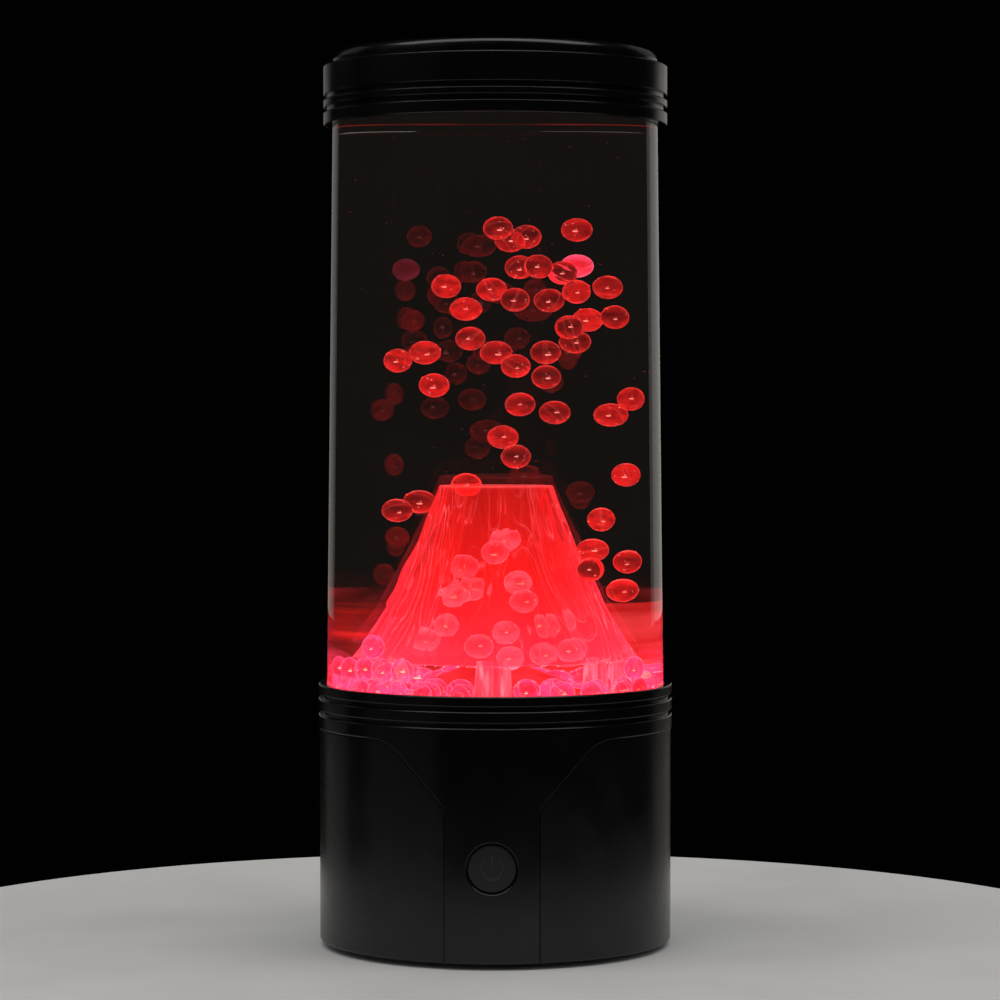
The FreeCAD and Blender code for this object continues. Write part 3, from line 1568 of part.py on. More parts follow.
def check_document(nodes):
    """Stops if any object failed to build, or if a sub-part's solid is missing or broken."""
    for piece in doc.Objects:
        if {"Invalid", "Error"} & set(piece.State):
            raise RuntimeError(f"{piece.Label} did not build: {piece.State}")
    for node in nodes:
        shape = node.Shape
        if shape.isNull() or not shape.isValid() or not shape.Solids or shape.Volume <= 0:
            raise RuntimeError(f"{node.Label} has no sound solid")


BASE_NODES = [
    rubber_feet(), bottom_cover(), cover_screws(), base_housing(), base_collar(), collar_screws(),
    power_button(), power_mark(), switch_plunger(), push_switch(), switch_board(),
    switch_board_screws(), control_board(), control_board_screws(), board_chips(),
    board_capacitors(), wire_headers(), dc_jack(), jack_pin(), support_deck(), deck_screws(),
    led_board(), led_board_screws(), leds(), motor_can(), motor_bush(), field_magnets(),
    motor_end_bell(), motor_terminals(), motor_shaft(), motor_armature(), motor_bracket(),
    bracket_screws(), motor_screws(), magnet_carrier(), drive_magnets(), motor_wires(),
    led_wires(), switch_wires(),
]
TANK_NODES = [
    tank_floor(), tank_seal(), tank_shell(), impeller_pin(), impeller(), impeller_magnets(),
    pump_cover(), volcano(), bead_group("beads_floating", floating_places()),
    bead_group("beads_resting", resting_places()), bead_group("beads_rising", rising_places()),
    water(), top_collar(), lid(), lid_seal(), filler_plug(),
]
NODES = BASE_NODES + TANK_NODES

doc.recompute()
check_document(NODES)
os.makedirs("parts", exist_ok=True)
for node in NODES:
    node.Shape.exportStep(f"parts/{node.Label}.step")
    print(f"{node.Label}: {len(node.Shape.Solids)} solids, {node.Shape.Volume / 1000:.2f} cm3")
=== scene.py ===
# A bead fountain lamp, lit and running: a red lava cone glows in a clear tank of water,
# and translucent beads lie round it and rise over its crater. Lengths are in metres.

import math
import random

import bmesh
import bpy
import numpy as np
from mathutils import Euler, Matrix, Vector


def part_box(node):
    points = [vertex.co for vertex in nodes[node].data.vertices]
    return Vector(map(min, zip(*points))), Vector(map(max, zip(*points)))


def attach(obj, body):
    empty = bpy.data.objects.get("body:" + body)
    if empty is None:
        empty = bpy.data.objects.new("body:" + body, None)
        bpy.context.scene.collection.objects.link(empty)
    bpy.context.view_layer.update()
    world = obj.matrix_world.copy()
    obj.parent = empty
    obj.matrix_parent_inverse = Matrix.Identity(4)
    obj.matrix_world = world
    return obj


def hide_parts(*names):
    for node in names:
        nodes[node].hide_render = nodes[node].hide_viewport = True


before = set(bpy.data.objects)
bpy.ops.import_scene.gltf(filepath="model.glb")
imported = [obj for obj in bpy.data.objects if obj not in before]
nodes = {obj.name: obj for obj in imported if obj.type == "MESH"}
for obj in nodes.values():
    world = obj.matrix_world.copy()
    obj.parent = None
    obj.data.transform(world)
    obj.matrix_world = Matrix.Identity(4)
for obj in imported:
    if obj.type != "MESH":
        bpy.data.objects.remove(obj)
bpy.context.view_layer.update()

# The lava cone: the heights of its skirt's edge, its crater and its rounded lip, its outer radii,
# the drop from crater to skirt, its wall, and how many legs carry it.
SKIRT_HEIGHT, CRATER_HEIGHT, LIP_HEIGHT = 0.1058, 0.1696, 0.1700
SKIRT_RADIUS, CRATER_RADIUS = 0.0387, 0.0158
CONE_DROP = CRATER_HEIGHT - SKIRT_HEIGHT
CONE_WALL = 0.0017
LEG_COUNT = 6

BEAD_RADIUS = 0.0043
BLACK = (0.0, 0.0, 0.0)


# Shader nodes

def node_tree(name):
    """A new material, its node tree and its main shader."""
    material = bpy.data.materials.new(name)
    material.use_nodes = True
    tree = material.node_tree
    return material, tree, tree.nodes["Principled BSDF"]


def set_inputs(node, **values):
    """Unlinked inputs set by name, with _ for a space."""
    for key, value in values.items():
        node.inputs[key.replace("_", " ")].default_value = value


def add(tree, kind, **settings):
    """A shader node with its properties and, after in_, its unlinked inputs set by name."""
    node = tree.nodes.new(kind)
    for key, value in settings.items():
        if key.startswith("in_"):
            set_inputs(node, **{key[3:]: value})
        else:
            setattr(node, key, value)
    return node


def calc(tree, operation, *values, clamp=False):
    """A sum on numbers or sockets."""
    node = add(tree, "ShaderNodeMath", operation=operation, use_clamp=clamp)
    for socket, value in zip(node.inputs, values):
        if isinstance(value, (int, float)):
            socket.default_value = value
        else:
            tree.links.new(value, socket)
    return node.outputs["Value"]


def mixed(tree, factor, first, second, blend="MIX"):
    """Two colours or colour sockets mixed by a factor."""
    node = add(tree, "ShaderNodeMix", data_type="RGBA", blend_type=blend)
    factor_socket, first_socket, second_socket = node.inputs[0], node.inputs[6], node.inputs[7]
    pairs = (factor_socket, factor), (first_socket, first), (second_socket, second)
    for socket, value in pairs:
        if isinstance(value, (int, float)):
            socket.default_value = value
        elif isinstance(value, tuple):
            socket.default_value = (*value, 1)
        else:
            tree.links.new(value, socket)
    return node.outputs[2]


def grey(level):
    return (level, level, level)


def ramp(tree, factor, stops):
    """A colour ramp over a factor, from (place, colour) stops."""
    node = add(tree, "ShaderNodeValToRGB")
    elements = node.color_ramp.elements
    while len(elements) < len(stops):
        elements.new(0.5)
    for element, (place, colour) in zip(elements, stops):
        element.position = place
        element.color = (*colour, 1)
    tree.links.new(factor, node.inputs["Fac"])
    return node.outputs["Color"]


def grey_ramp(tree, factor, low, high, start=0.3, end=0.7):
    return ramp(tree, factor, [(start, grey(low)), (end, grey(high))])


def attribute(tree, name, output="Fac"):
    return add(tree, "ShaderNodeAttribute", attribute_name=name).outputs[output]


def object_place(tree):
    """Object coordinates, in metres."""
    return add(tree, "ShaderNodeTexCoord").outputs["Object"]


def height_factor(tree, low, high):
    """A factor from 0 at one height to 1 at another."""
    parts = add(tree, "ShaderNodeSeparateXYZ")
    tree.links.new(object_place(tree), parts.inputs["Vector"])
    span = add(tree, "ShaderNodeMapRange", in_From_Min=low, in_From_Max=high)
    tree.links.new(parts.outputs["Z"], span.inputs["Value"])
    return span.outputs["Result"]


def at_rim(tree, reach):
    """A factor of 1 further from the upright axis than a reach, and 0 within it."""
    flat = add(tree, "ShaderNodeVectorMath", operation="MULTIPLY")
    flat.inputs[1].default_value = (1, 1, 0)
    tree.links.new(object_place(tree), flat.inputs[0])
    length = add(tree, "ShaderNodeVectorMath", operation="LENGTH")
    tree.links.new(flat.outputs["Vector"], length.inputs[0])
    beyond = add(tree, "ShaderNodeMapRange", in_From_Min=reach, in_From_Max=reach + 0.0001)
    tree.links.new(length.outputs["Value"], beyond.inputs["Value"])
    return beyond.outputs["Result"]


def noise_at(tree, place, stretch, scale, detail, roughness):
    """Noise over a place that is stretched along its axes."""
    mapping = add(tree, "ShaderNodeMapping", in_Scale=stretch)
    tree.links.new(place, mapping.inputs["Vector"])
    texture = add(tree, "ShaderNodeTexNoise",
                  in_Scale=scale, in_Detail=detail, in_Roughness=roughness)
    tree.links.new(mapping.outputs["Vector"], texture.inputs["Vector"])
    return texture.outputs["Fac"]


def noise(tree, scale, detail, stretch=(1, 1, 1), roughness=0.5):
    return noise_at(tree, object_place(tree), stretch, scale, detail, roughness)


def flow_noise(tree, scale, detail, along, roughness=0.5):
    """Noise on the cone's own skin, drawn out along its slope."""
    place = attribute(tree, "flow", "Vector")
    return noise_at(tree, place, (1, 1, along), scale, detail, roughness)


def contour_lines(tree, pattern, count, width):
    """Thin lines where a pattern passes each of a count of levels."""
    level = calc(tree, "PINGPONG", calc(tree, "MULTIPLY", pattern, float(count)), 0.5)
    return calc(tree, "SUBTRACT", 1.0, calc(tree, "DIVIDE", level, width), clamp=True)


def bump(tree, shader, height, strength, distance):
    node = add(tree, "ShaderNodeBump", in_Strength=strength, in_Distance=distance)
    tree.links.new(height, node.inputs["Height"])
    tree.links.new(node.outputs["Normal"], shader.inputs["Normal"])
    return node


def base_colour(tree, shader, factor, first, second):
    """A surface colour that runs from one colour to another over a factor."""
    tree.links.new(ramp(tree, factor, [(0.3, first), (0.7, second)]), shader.inputs["Base Color"])


def emit(tree, shader, colour, strength=1.0):
    tree.links.new(colour, shader.inputs["Emission Color"])
    set_inputs(shader, Emission_Strength=strength)


# Materials

def plastic(name, colour, roughness, spread=0.15, grain=900.0, depth=0.00002, mottle=30.0,
            round_off=0.0):
    """Moulded plastic: a slightly uneven colour and gloss over a fine grain, its edges a little
    rounded."""
    material, tree, shader = node_tree(name)
    dark = tuple(channel * (1 - spread) for channel in colour)
    light = tuple(min(1, channel * (1 + spread)) for channel in colour)
    base_colour(tree, shader, noise(tree, mottle, 4), dark, light)
    gloss = grey_ramp(tree, noise(tree, mottle * 2.3, 3), roughness * 0.85, roughness * 1.15)
    tree.links.new(gloss, shader.inputs["Roughness"])
    relief = bump(tree, shader, noise(tree, grain, 2), 0.35, depth)
    if round_off:
        rounded = add(tree, "ShaderNodeBevel", samples=6, in_Radius=round_off)
        tree.links.new(rounded.outputs["Normal"], relief.inputs["Normal"])
    return material


def metal(name, colour, roughness, stretch=(1, 1, 12), grain=160.0):
    """Drawn or machined metal with fine marks along one way."""
    material, tree, shader = node_tree(name)
    set_inputs(shader, Metallic=1.0)
    marks = noise(tree, grain, 4, stretch)
    base_colour(tree, shader, marks, tuple(channel * 0.85 for channel in colour), colour)
    gloss = grey_ramp(tree, marks, roughness * 0.8, roughness * 1.3)
    tree.links.new(gloss, shader.inputs["Roughness"])
    bump(tree, shader, marks, 0.3, 0.00002)
    return material


def tank_material():
    """Clear plastic, barely uneven, with a faint painted reflection: a glow on each face that light
    enters by.
    """
    material, tree, shader = node_tree("tank")
    set_inputs(shader, Transmission_Weight=1.0, IOR=1.49)
    haze = noise(tree, 40.0, 3)
    tree.links.new(grey_ramp(tree, haze, 0.0, 0.002), shader.inputs["Roughness"])
    base_colour(tree, shader, haze, grey(0.99), grey(0.9999))
    # Painted reflection: a faint brownish glow on the faces that rays enter by, veiling the walls.
    painted_veil = ramp(tree, haze, [(0.3, (0.00324, 0.00261, 0.00225)), (0.7, (0.0036, 0.0029, 0.0025))])
    leaving = add(tree, "ShaderNodeNewGeometry").outputs["Backfacing"]
    emit(tree, shader, mixed(tree, leaving, painted_veil, BLACK))
    return material


def water_material():
    """Clear water. Where its outer skin is seen from inside, it carries painted light: a red glow
    low in the tank, painted where the LEDs' light shows in the far wall, and a fine painted red
    reflection along the meniscus."""
    material, tree, shader = node_tree("water")
    set_inputs(shader, Transmission_Weight=1.0, IOR=1.333, Roughness=0.0)
    base_colour(tree, shader, noise(tree, 40.0, 3), (0.99, 0.985, 0.98), (1.0, 0.995, 0.99))
    # Painted light: red patches glowing low in the tank and fading out upwards, over a painted band
    # of glow at the bottom.
    glow_pools = ramp(tree, noise(tree, 24.0, 3, (1, 1, 5)), [
        (0.38, (0.10, 0.002, 0.0015)), (0.46, (0.34, 0.004, 0.003)),
        (0.53, (0.80, 0.010, 0.008)), (0.64, (1.0, 0.040, 0.045))])
    low_down = height_factor(tree, 0.09, 0.13)
    fade = ramp(tree, low_down, [
        (0.0, grey(1.0)), (0.45, grey(0.95)), (0.838, grey(0.70)), (0.856, BLACK)])
    bed_glow = ramp(tree, low_down, [
        (0.0, (0.55, 0.010, 0.010)), (0.22, (0.45, 0.006, 0.006)), (0.36, BLACK)])
    low_glow = mixed(tree, 1.0, mixed(tree, 1.0, glow_pools, fade, "MULTIPLY"), bed_glow, "ADD")
    # Painted reflection: a fine red line along the meniscus, broken up, only at the tank's wall.
    line_red = (0.26, 0.010, 0.008)
    line = ramp(tree, height_factor(tree, 0.300, 0.310), [
        (0.47, BLACK), (0.50, line_red), (0.56, line_red), (0.60, BLACK)])
    breaks = grey_ramp(tree, noise(tree, 28.0, 3), 0.05, 1.3, 0.42, 0.62)
    glints = calc(tree, "MULTIPLY", at_rim(tree, 0.0570), breaks)
    both = mixed(tree, 1.0, low_glow, mixed(tree, 1.0, line, glints, "MULTIPLY"), "ADD")
    inside = add(tree, "ShaderNodeNewGeometry").outputs["Backfacing"]
    emit(tree, shader, mixed(tree, inside, BLACK, both))
    return material


def lava_material():
    """Translucent red plastic whose light from within is a painted glow: dark red at the crater,
    pinker below and where it is seen edge-on, with fine pale painted highlights where the lava
    folds, and painted highlights on the skirt's edge and the lip."""
    material, tree, shader = node_tree("lit_lava")
    folds = flow_noise(tree, 44.0, 1.4, 0.22)
    streaks = flow_noise(tree, 90.0, 3, 0.14, 0.55)
    rise = height_factor(tree, SKIRT_HEIGHT, LIP_HEIGHT)
    # Painted glow: brightest and pinkest low down, darkest towards the crater, a little lighter at
    # the lip.
    body = ramp(tree, rise, [
        (0.0, (0.45, 0.016, 0.040)), (0.25, (0.34, 0.0065, 0.012)), (0.5, (0.24, 0.0026, 0.0024)),
        (0.75, (0.17, 0.0018, 0.0005)), (0.97, (0.135, 0.0016, 0.0004)),
        (1.0, (0.20, 0.004, 0.003))])
    uneven = mixed(tree, 1.0, body, grey_ramp(tree, streaks, 0.62, 1.2), "MULTIPLY")
    relief = bump(tree, shader, folds, 0.5, 0.0020)
    # Painted glow, paler where the wall is seen edge-on.
    edge_on = add(tree, "ShaderNodeLayerWeight", in_Blend=0.5)
    tree.links.new(relief.outputs["Normal"], edge_on.inputs["Normal"])
    limb = calc(tree, "POWER", edge_on.outputs["Facing"], 2.6)
    paler = ramp(tree, rise, [
        (0.0, (0.75, 0.032, 0.075)), (0.6, (0.66, 0.018, 0.034)), (1.0, (0.50, 0.008, 0.010))])
    glow = mixed(tree, limb, uneven, paler)
    # Painted highlights: fine pale lines along the folds' levels, broken into patches and fewer
    # towards the front.
    patches = grey_ramp(tree, flow_noise(tree, 45.0, 2, 0.5), 0.0, 1.0, 0.42, 0.62)
    broken = calc(tree, "MULTIPLY", attribute(tree, "lively"), patches)
    fold_highlights = calc(tree, "MULTIPLY", contour_lines(tree, folds, 20, 0.06), broken)
    glow = mixed(tree, calc(tree, "MULTIPLY", fold_highlights, 0.6), glow, (0.9, 0.20, 0.26))
    # Painted highlights on the skirt's edge and on the lip.
    rim_highlights = ramp(tree, rise, [
        (0.0, (0.05, 0.015, 0.02)), (0.005, BLACK), (0.985, BLACK), (0.996, (0.12, 0.03, 0.03))])
    emit(tree, shader, mixed(tree, 1.0, glow, rim_highlights, "ADD"))
    base_colour(tree, shader, streaks, (1.0, 0.34, 0.34), (1.0, 0.46, 0.46))
    set_inputs(shader, Roughness=0.10, Transmission_Weight=0.85, IOR=1.12)
    return material


def leg_material():
    """The cone's legs: clear pink plastic with upright flutes, a painted glow and pale painted
    highlights along the flutes.
    """
    material, tree, shader = node_tree("lit_leg")
    flutes = noise(tree, 420.0, 3, (1, 1, 0.12), 0.55)
    # Painted glow, with pale painted highlights along the flutes.
    glow = ramp(tree, flutes, [
        (0.36, (0.42, 0.014, 0.030)), (0.52, (0.62, 0.045, 0.08)), (0.66, (0.95, 0.26, 0.33))])
    emit(tree, shader, glow, 0.8)
    base_colour(tree, shader, flutes, (1.0, 0.45, 0.5), (1.0, 0.6, 0.65))
    set_inputs(shader, Roughness=0.08, Transmission_Weight=0.7, IOR=1.12)
    bump(tree, shader, flutes, 0.6, 0.0005)
    return material


def bead_material(name, centre, body, rim, seam, clearness=0.85, fall=1.5):
    """A translucent bead whose red light is a painted glow. Its middle is clearer, its lower part
    brighter as painted light from below, its rim and mould line paler as painted highlights, and
    each bead carries its own share of painted light."""
    material, tree, shader = node_tree(name)
    patches = noise(tree, 240.0, 5, (1, 1, 1.6), 0.62)
    # Painted light: more where the bead is seen edge-on, brightest at its bottom and lighter again
    # at its top, as if lit from below, plus each bead's own share.
    facing = add(tree, "ShaderNodeLayerWeight", in_Blend=0.5).outputs["Facing"]
    away = calc(tree, "POWER", facing, fall)
    below = ramp(tree, attribute(tree, "lift"), [
        (0.0, grey(0.9)), (0.30, grey(0.35)), (0.6, BLACK), (1.0, grey(0.55))])
    share = calc(tree, "ADD", away, below)
    share = calc(tree, "ADD", share, attribute(tree, "shade"), clamp=True)
    marks = grey_ramp(tree, patches, 0.20, 1.30, 0.38, 0.62)
    glow = mixed(tree, calc(tree, "MULTIPLY", share, marks, clamp=True), centre, body)
    # Painted highlights: a pale rim at the edge and along the mould line.
    edge = calc(tree, "POWER", facing, 9.0)
    line = calc(tree, "MULTIPLY", attribute(tree, "seam"), seam)
    emit(tree, shader, mixed(tree, calc(tree, "MAXIMUM", edge, line, clamp=True), glow, rim))
    base_colour(tree, shader, patches, (1.0, 0.35, 0.3), (1.0, 0.5, 0.45))
    set_inputs(shader, Roughness=0.03, Transmission_Weight=clearness, IOR=1.12)
    bump(tree, shader, patches, 0.35, 0.00015)
    return material


def glow_material(name, first, second, strength, scale=300.0):
    """A patterned glow on a dull red surface: the LEDs' own light, and elsewhere painted glows and
    glints.
    """
    material, tree, shader = node_tree(name)
    spots = noise(tree, scale, 3)
    emit(tree, shader, ramp(tree, spots, [(0.35, first), (0.65, second)]), strength)
    base_colour(tree, shader, spots, (0.5, 0.15, 0.15), (0.5, 0.2, 0.2))
    return material


MATERIALS = {
    "satin_black": plastic("satin_black", (0.0022, 0.0020, 0.0023), 0.26, round_off=0.0004),
    "gloss_black": plastic("gloss_black", (0.0018, 0.0016, 0.0020), 0.22, round_off=0.0004),
    "button_black": plastic("button_black", (0.0100, 0.0097, 0.0095), 0.36, round_off=0.0003),
    "mark_grey": plastic("mark_grey", grey(0.016), 0.4),
    "foot_rubber": plastic("foot_rubber", grey(0.03), 0.8, grain=500, depth=0.00005),
    "seal_rubber": plastic("seal_rubber", grey(0.05), 0.7),
    "white_plastic": plastic("white_plastic", (0.78, 0.77, 0.74), 0.4),
    "grey_plastic": plastic("grey_plastic", (0.25, 0.25, 0.26), 0.45),
    "board_green": plastic("board_green", (0.015, 0.13, 0.045), 0.3, spread=0.25, mottle=120),
    "chip_black": plastic("chip_black", grey(0.02), 0.55),
    "wire_red": plastic("wire_red", (0.5, 0.02, 0.02), 0.4),
    "wire_grey": plastic("wire_grey", (0.3, 0.3, 0.31), 0.4),
    "wire_white": plastic("wire_white", (0.7, 0.7, 0.68), 0.4),
    "ferrite": plastic("ferrite", (0.06, 0.06, 0.065), 0.6, grain=400, depth=0.00006),
    "steel": metal("steel", (0.62, 0.62, 0.61), 0.28),
    "nickel": metal("nickel", (0.72, 0.71, 0.68), 0.18),
    "aluminium": metal("aluminium", (0.66, 0.67, 0.69), 0.3),
    "bronze": metal("bronze", (0.55, 0.38, 0.2), 0.4),
    "copper": metal("copper", (0.62, 0.26, 0.12), 0.35, (1, 1, 30), 300),
    "brass": metal("brass", (0.78, 0.6, 0.3), 0.25),
    "tank": tank_material(),
    "water": water_material(),
    "lava": lava_material(),
    "leg": leg_material(),
    # Painted glows: the tank's floor and the pump's cover, as if lit by the LEDs under them.
    "lit_floor": glow_material(
        "lit_floor", (0.42, 0.003, 0.004), (1.0, 0.022, 0.030), 0.9, 60.0),
    "pump_clear": glow_material(
        "pump_clear", (0.55, 0.004, 0.004), (0.9, 0.02, 0.03), 0.6, 120.0),
    "led": glow_material("led", (1.0, 0.1, 0.1), (1.0, 0.2, 0.2), 4.0),
    # The beads' glow, paler rims and mould lines are painted light; their sparks are painted
    # glints.
    "bead_floating": bead_material(
        "bead_floating", (0.008, 0.0003, 0.0006), (0.42, 0.006, 0.006), (0.76, 0.09, 0.08),
        seam=0.24, fall=2.3),
    "bead_resting": bead_material(
        "bead_resting", (0.08, 0.003, 0.016), (0.62, 0.040, 0.170), (1.0, 0.42, 0.55), seam=0.25),
    "bead_rising": bead_material(
        "bead_rising", (0.10, 0.020, 0.040), (0.42, 0.15, 0.24), (0.9, 0.42, 0.56), seam=0.3),
    "bead_milky": bead_material(
        "bead_milky", (0.50, 0.008, 0.022), (0.92, 0.09, 0.21), (1.0, 0.24, 0.34),
        seam=0.2, clearness=0.1),
    "bead_spark": glow_material(
        "bead_spark", (1.0, 0.22, 0.20), (1.0, 0.62, 0.55), 1.2, 900.0),
    "rest_spark": glow_material("rest_spark", (1.0, 0.50, 0.22), (1.0, 0.9, 0.7), 1.8, 900.0),
    # Painted glow on the specks in the water.
    "speck": glow_material("speck", (0.20, 0.01, 0.01), (0.35, 0.06, 0.04), 0.7),
}

NODE_MATERIALS = {
    "rubber_feet": "foot_rubber", "bottom_cover": "satin_black", "cover_screws": "steel",
    "base_housing": "satin_black", "base_collar": "gloss_black", "collar_screws": "steel",
    "power_button": "button_black", "power_mark": "mark_grey",
    "switch_plunger": "white_plastic", "push_switch": "chip_black",
    "switch_board": "board_green", "switch_board_screws": "steel",
    "control_board": "board_green", "control_board_screws": "steel",
    "board_chips": "chip_black", "board_capacitors": "aluminium",
    "wire_headers": "white_plastic", "dc_jack": "chip_black", "jack_pin": "brass",
    "support_deck": "white_plastic", "deck_screws": "steel",
    "led_board": "white_plastic", "led_board_screws": "steel", "leds": "led",
    "motor_can": "steel", "motor_bush": "bronze", "field_magnets": "ferrite",
    "motor_end_bell": "white_plastic", "motor_terminals": "brass", "motor_shaft": "steel",
    "motor_armature": "copper", "motor_bracket": "grey_plastic", "bracket_screws": "steel",
    "motor_screws": "steel", "magnet_carrier": "grey_plastic", "drive_magnets": "nickel",
    "motor_wires": "wire_red", "led_wires": "wire_white", "switch_wires": "wire_grey",
    "tank_floor": "lit_floor", "tank_seal": "seal_rubber", "tank_shell": "tank",
    "impeller_pin": "steel", "impeller": "white_plastic", "impeller_magnets": "nickel",
    "pump_cover": "pump_clear", "volcano": "lava",
    "beads_floating": "bead_floating", "beads_resting": "bead_resting",
    "beads_rising": "bead_rising", "top_collar": "gloss_black", "lid": "gloss_black",
    "lid_seal": "seal_rubber", "filler_plug": "seal_rubber",
}

for name, key in NODE_MATERIALS.items():
    slots = nodes[name].material_slots
    if not slots:
        nodes[name].data.materials.append(MATERIALS[key])
    for slot in slots:
        slot.material = MATERIALS[key]


# Meshes

def linked(name, data):
    """A new object in the scene."""
    made = bpy.data.objects.new(name, data)
    bpy.context.scene.collection.objects.link(made)
    return made


def ring_faces(rings):
    """Faces between closed rings of corners. A ring of one corner is a pole."""
    for below, above in zip(rings, rings[1:]):
        for step in range(max(len(below), len(above))):
            after = step + 1
            corners = (below[step % len(below)], below[after % len(below)],
                       above[after % len(above)], above[step % len(above)])
            yield tuple(dict.fromkeys(corners))


def closed_mesh(name, points, faces, crease=None):
    """A smooth mesh with its faces turned outwards, sharp where it bends by more than a crease in
    degrees."""
    mesh = bpy.data.meshes.new(name)
    mesh.from_pydata(points, [], faces)
    form = bmesh.new()
    form.from_mesh(mesh)
    bmesh.ops.recalc_face_normals(form, faces=form.faces)
    form.to_mesh(mesh)
    form.free()
    mesh.shade_smooth()
    if crease:
        mesh.set_sharp_from_angle(angle=math.radians(crease))
    return mesh


def turned(outline, full_ring=128):
    """Points and faces of (radius, height) corners turned about the upright axis."""
    points, rings = [], []
    for radius, height in outline:
        steps = full_ring if radius else 1
        rings.append(range(len(points), len(points) + steps))
        for step in range(steps):
            turn = math.tau * step / steps
            points.append((radius * math.cos(turn), radius * math.sin(turn), height))
    return points, list(ring_faces(rings))


def skin(name, rows, material, loop=False):
    """A closed skin through rows of points, each row a ring: joined end to end, or capped by a
    face at each end."""
    steps = len(rows[0])
    rings = [range(row * steps, (row + 1) * steps) for row in range(len(rows))]
    faces = list(ring_faces(rings + rings[:1] if loop else rings))
    if not loop:
        faces += [tuple(rings[0])[::-1], tuple(rings[-1])]
    mesh = closed_mesh(name, np.concatenate(rows).tolist(), faces, crease=50)
    mesh.materials.append(MATERIALS[material])
    return linked(name, mesh)


# The water

def water_piece():
    """The water, a hair wider than the tank's bore, so that light passes from wall to water
    without an air gap, with a meniscus that creeps up the wall."""
    low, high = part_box("water")
    floor, surface = low.z, high.z
    tank_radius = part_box("tank_shell")[1].x
    tank_foot = 0.0898
    tank_wall = 0.0026
    taper = (0.0624 - 0.0599) / 0.2207
    bite = 0.00006
    creep = 0.0006
    base = tank_radius - tank_wall - (floor - tank_foot) * taper + bite
    rim = base - (surface - floor) * taper
    outline = [(0, floor), (base, floor), (rim, surface + creep)]
    outline += [(rim - creep * part, surface + creep * (1 - part) ** 2) for part in (0.4, 0.8, 1.4)]
    outline += [(rim * 0.9, surface), (0, surface)]
    mesh = closed_mesh("water_body", *turned(outline), crease=25)
    mesh.materials.append(MATERIALS["water"])
    piece = linked("water_body", mesh)
    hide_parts("water")
    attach(piece, "lamp")


# The lava cone

# Lumps on the cone's flank: the turn in degrees, the distance below the crater, and how far each
# stands out.
LUMPS = ((181, 0.030, 0.0011), (176, 0.012, 0.0004), (3, 0.036, 0.0007), (-6, 0.016, 0.0005),
         (120, 0.026, 0.0007), (75, 0.040, 0.0008), (240, 0.043, 0.0006), (300, 0.048, 0.0005))
RUN_COUNT = 78


def from_turn(turns, middle):
    """How far turns lie from a middle one, from minus half a turn to half a turn."""
    return (turns - middle + math.pi) % math.tau - math.pi


def cone_mean(fall):
    """The cone's mean outer radius at a distance below the crater's rim."""
    slope = 0.2365
    straight = CRATER_RADIUS + slope * fall
    flare = SKIRT_RADIUS - CRATER_RADIUS - slope * CONE_DROP
    return straight + flare * (fall / CONE_DROP) ** 2


def flow_runs(seed):
    """Lava runs down the cone: where each starts and ends, how it wanders and leans, and its width
    and height."""
    dice = random.Random(seed)
    runs = []
    for number in range(RUN_COUNT):
        early = dice.random() < 0.40
        start = dice.uniform(-0.006, 0.006) if early else dice.uniform(0.008, 0.050)
        short = dice.random() < 0.6
        length = dice.uniform(0.012, 0.040) if short else dice.uniform(0.035, 0.070)
        runs.append({
            "turn": math.tau * (number + dice.uniform(-0.4, 0.4)) / RUN_COUNT,
            "start": start, "end": start + length,
            "sway": dice.uniform(-0.045, 0.045), "pitch": dice.uniform(0.004, 0.012),
            "phase": dice.uniform(0, 6.3), "lean": dice.uniform(-3.0, 3.0),
            "width": dice.uniform(0.0005, 0.0011), "rise": dice.uniform(0.0003, 0.0008)})
    return runs


def run_height(run, turns, falls, radius):
    """How far one lava run stands out over the cone's skin: tapered above, with a rounded drop at
    its tip."""
    wander = run["sway"] * np.sin(falls / run["pitch"] + run["phase"])
    aside = from_turn(turns, run["turn"] + wander + run["lean"] * falls)
    top = np.clip((falls - run["start"]) / 0.008, 0, 1)
    left = (run["end"] - falls) / 0.0022
    tip = np.where(left > 1, 1.0, 1 - (1 - np.clip(left, 0, 1)) ** 2)
    bulge = 1 + 0.6 * np.exp(-((left - 1.2) / 1.2) ** 2)
    across = aside * radius / (run["width"] * (0.7 + 0.5 * bulge))
    return run["rise"] * top * tip * bulge * np.exp(-across ** 4)


def broad_flow(turns, falls):
    """The broad folds of the cone's flank, from -1 to 1."""
    broad = 0.55 * np.cos(7 * turns + 0.9 * np.sin(falls / 0.014))
    middle = 0.30 * np.cos(13 * turns - falls / 0.017 + 1.0)
    return broad + middle + 0.15 * np.cos(22 * turns + falls / 0.009)


def ringed(radius, turns, height):
    """Rows of points, each row a ring, from arrays of radius, turn and height."""
    return np.stack([radius * np.cos(turns), radius * np.sin(turns), height], axis=2)


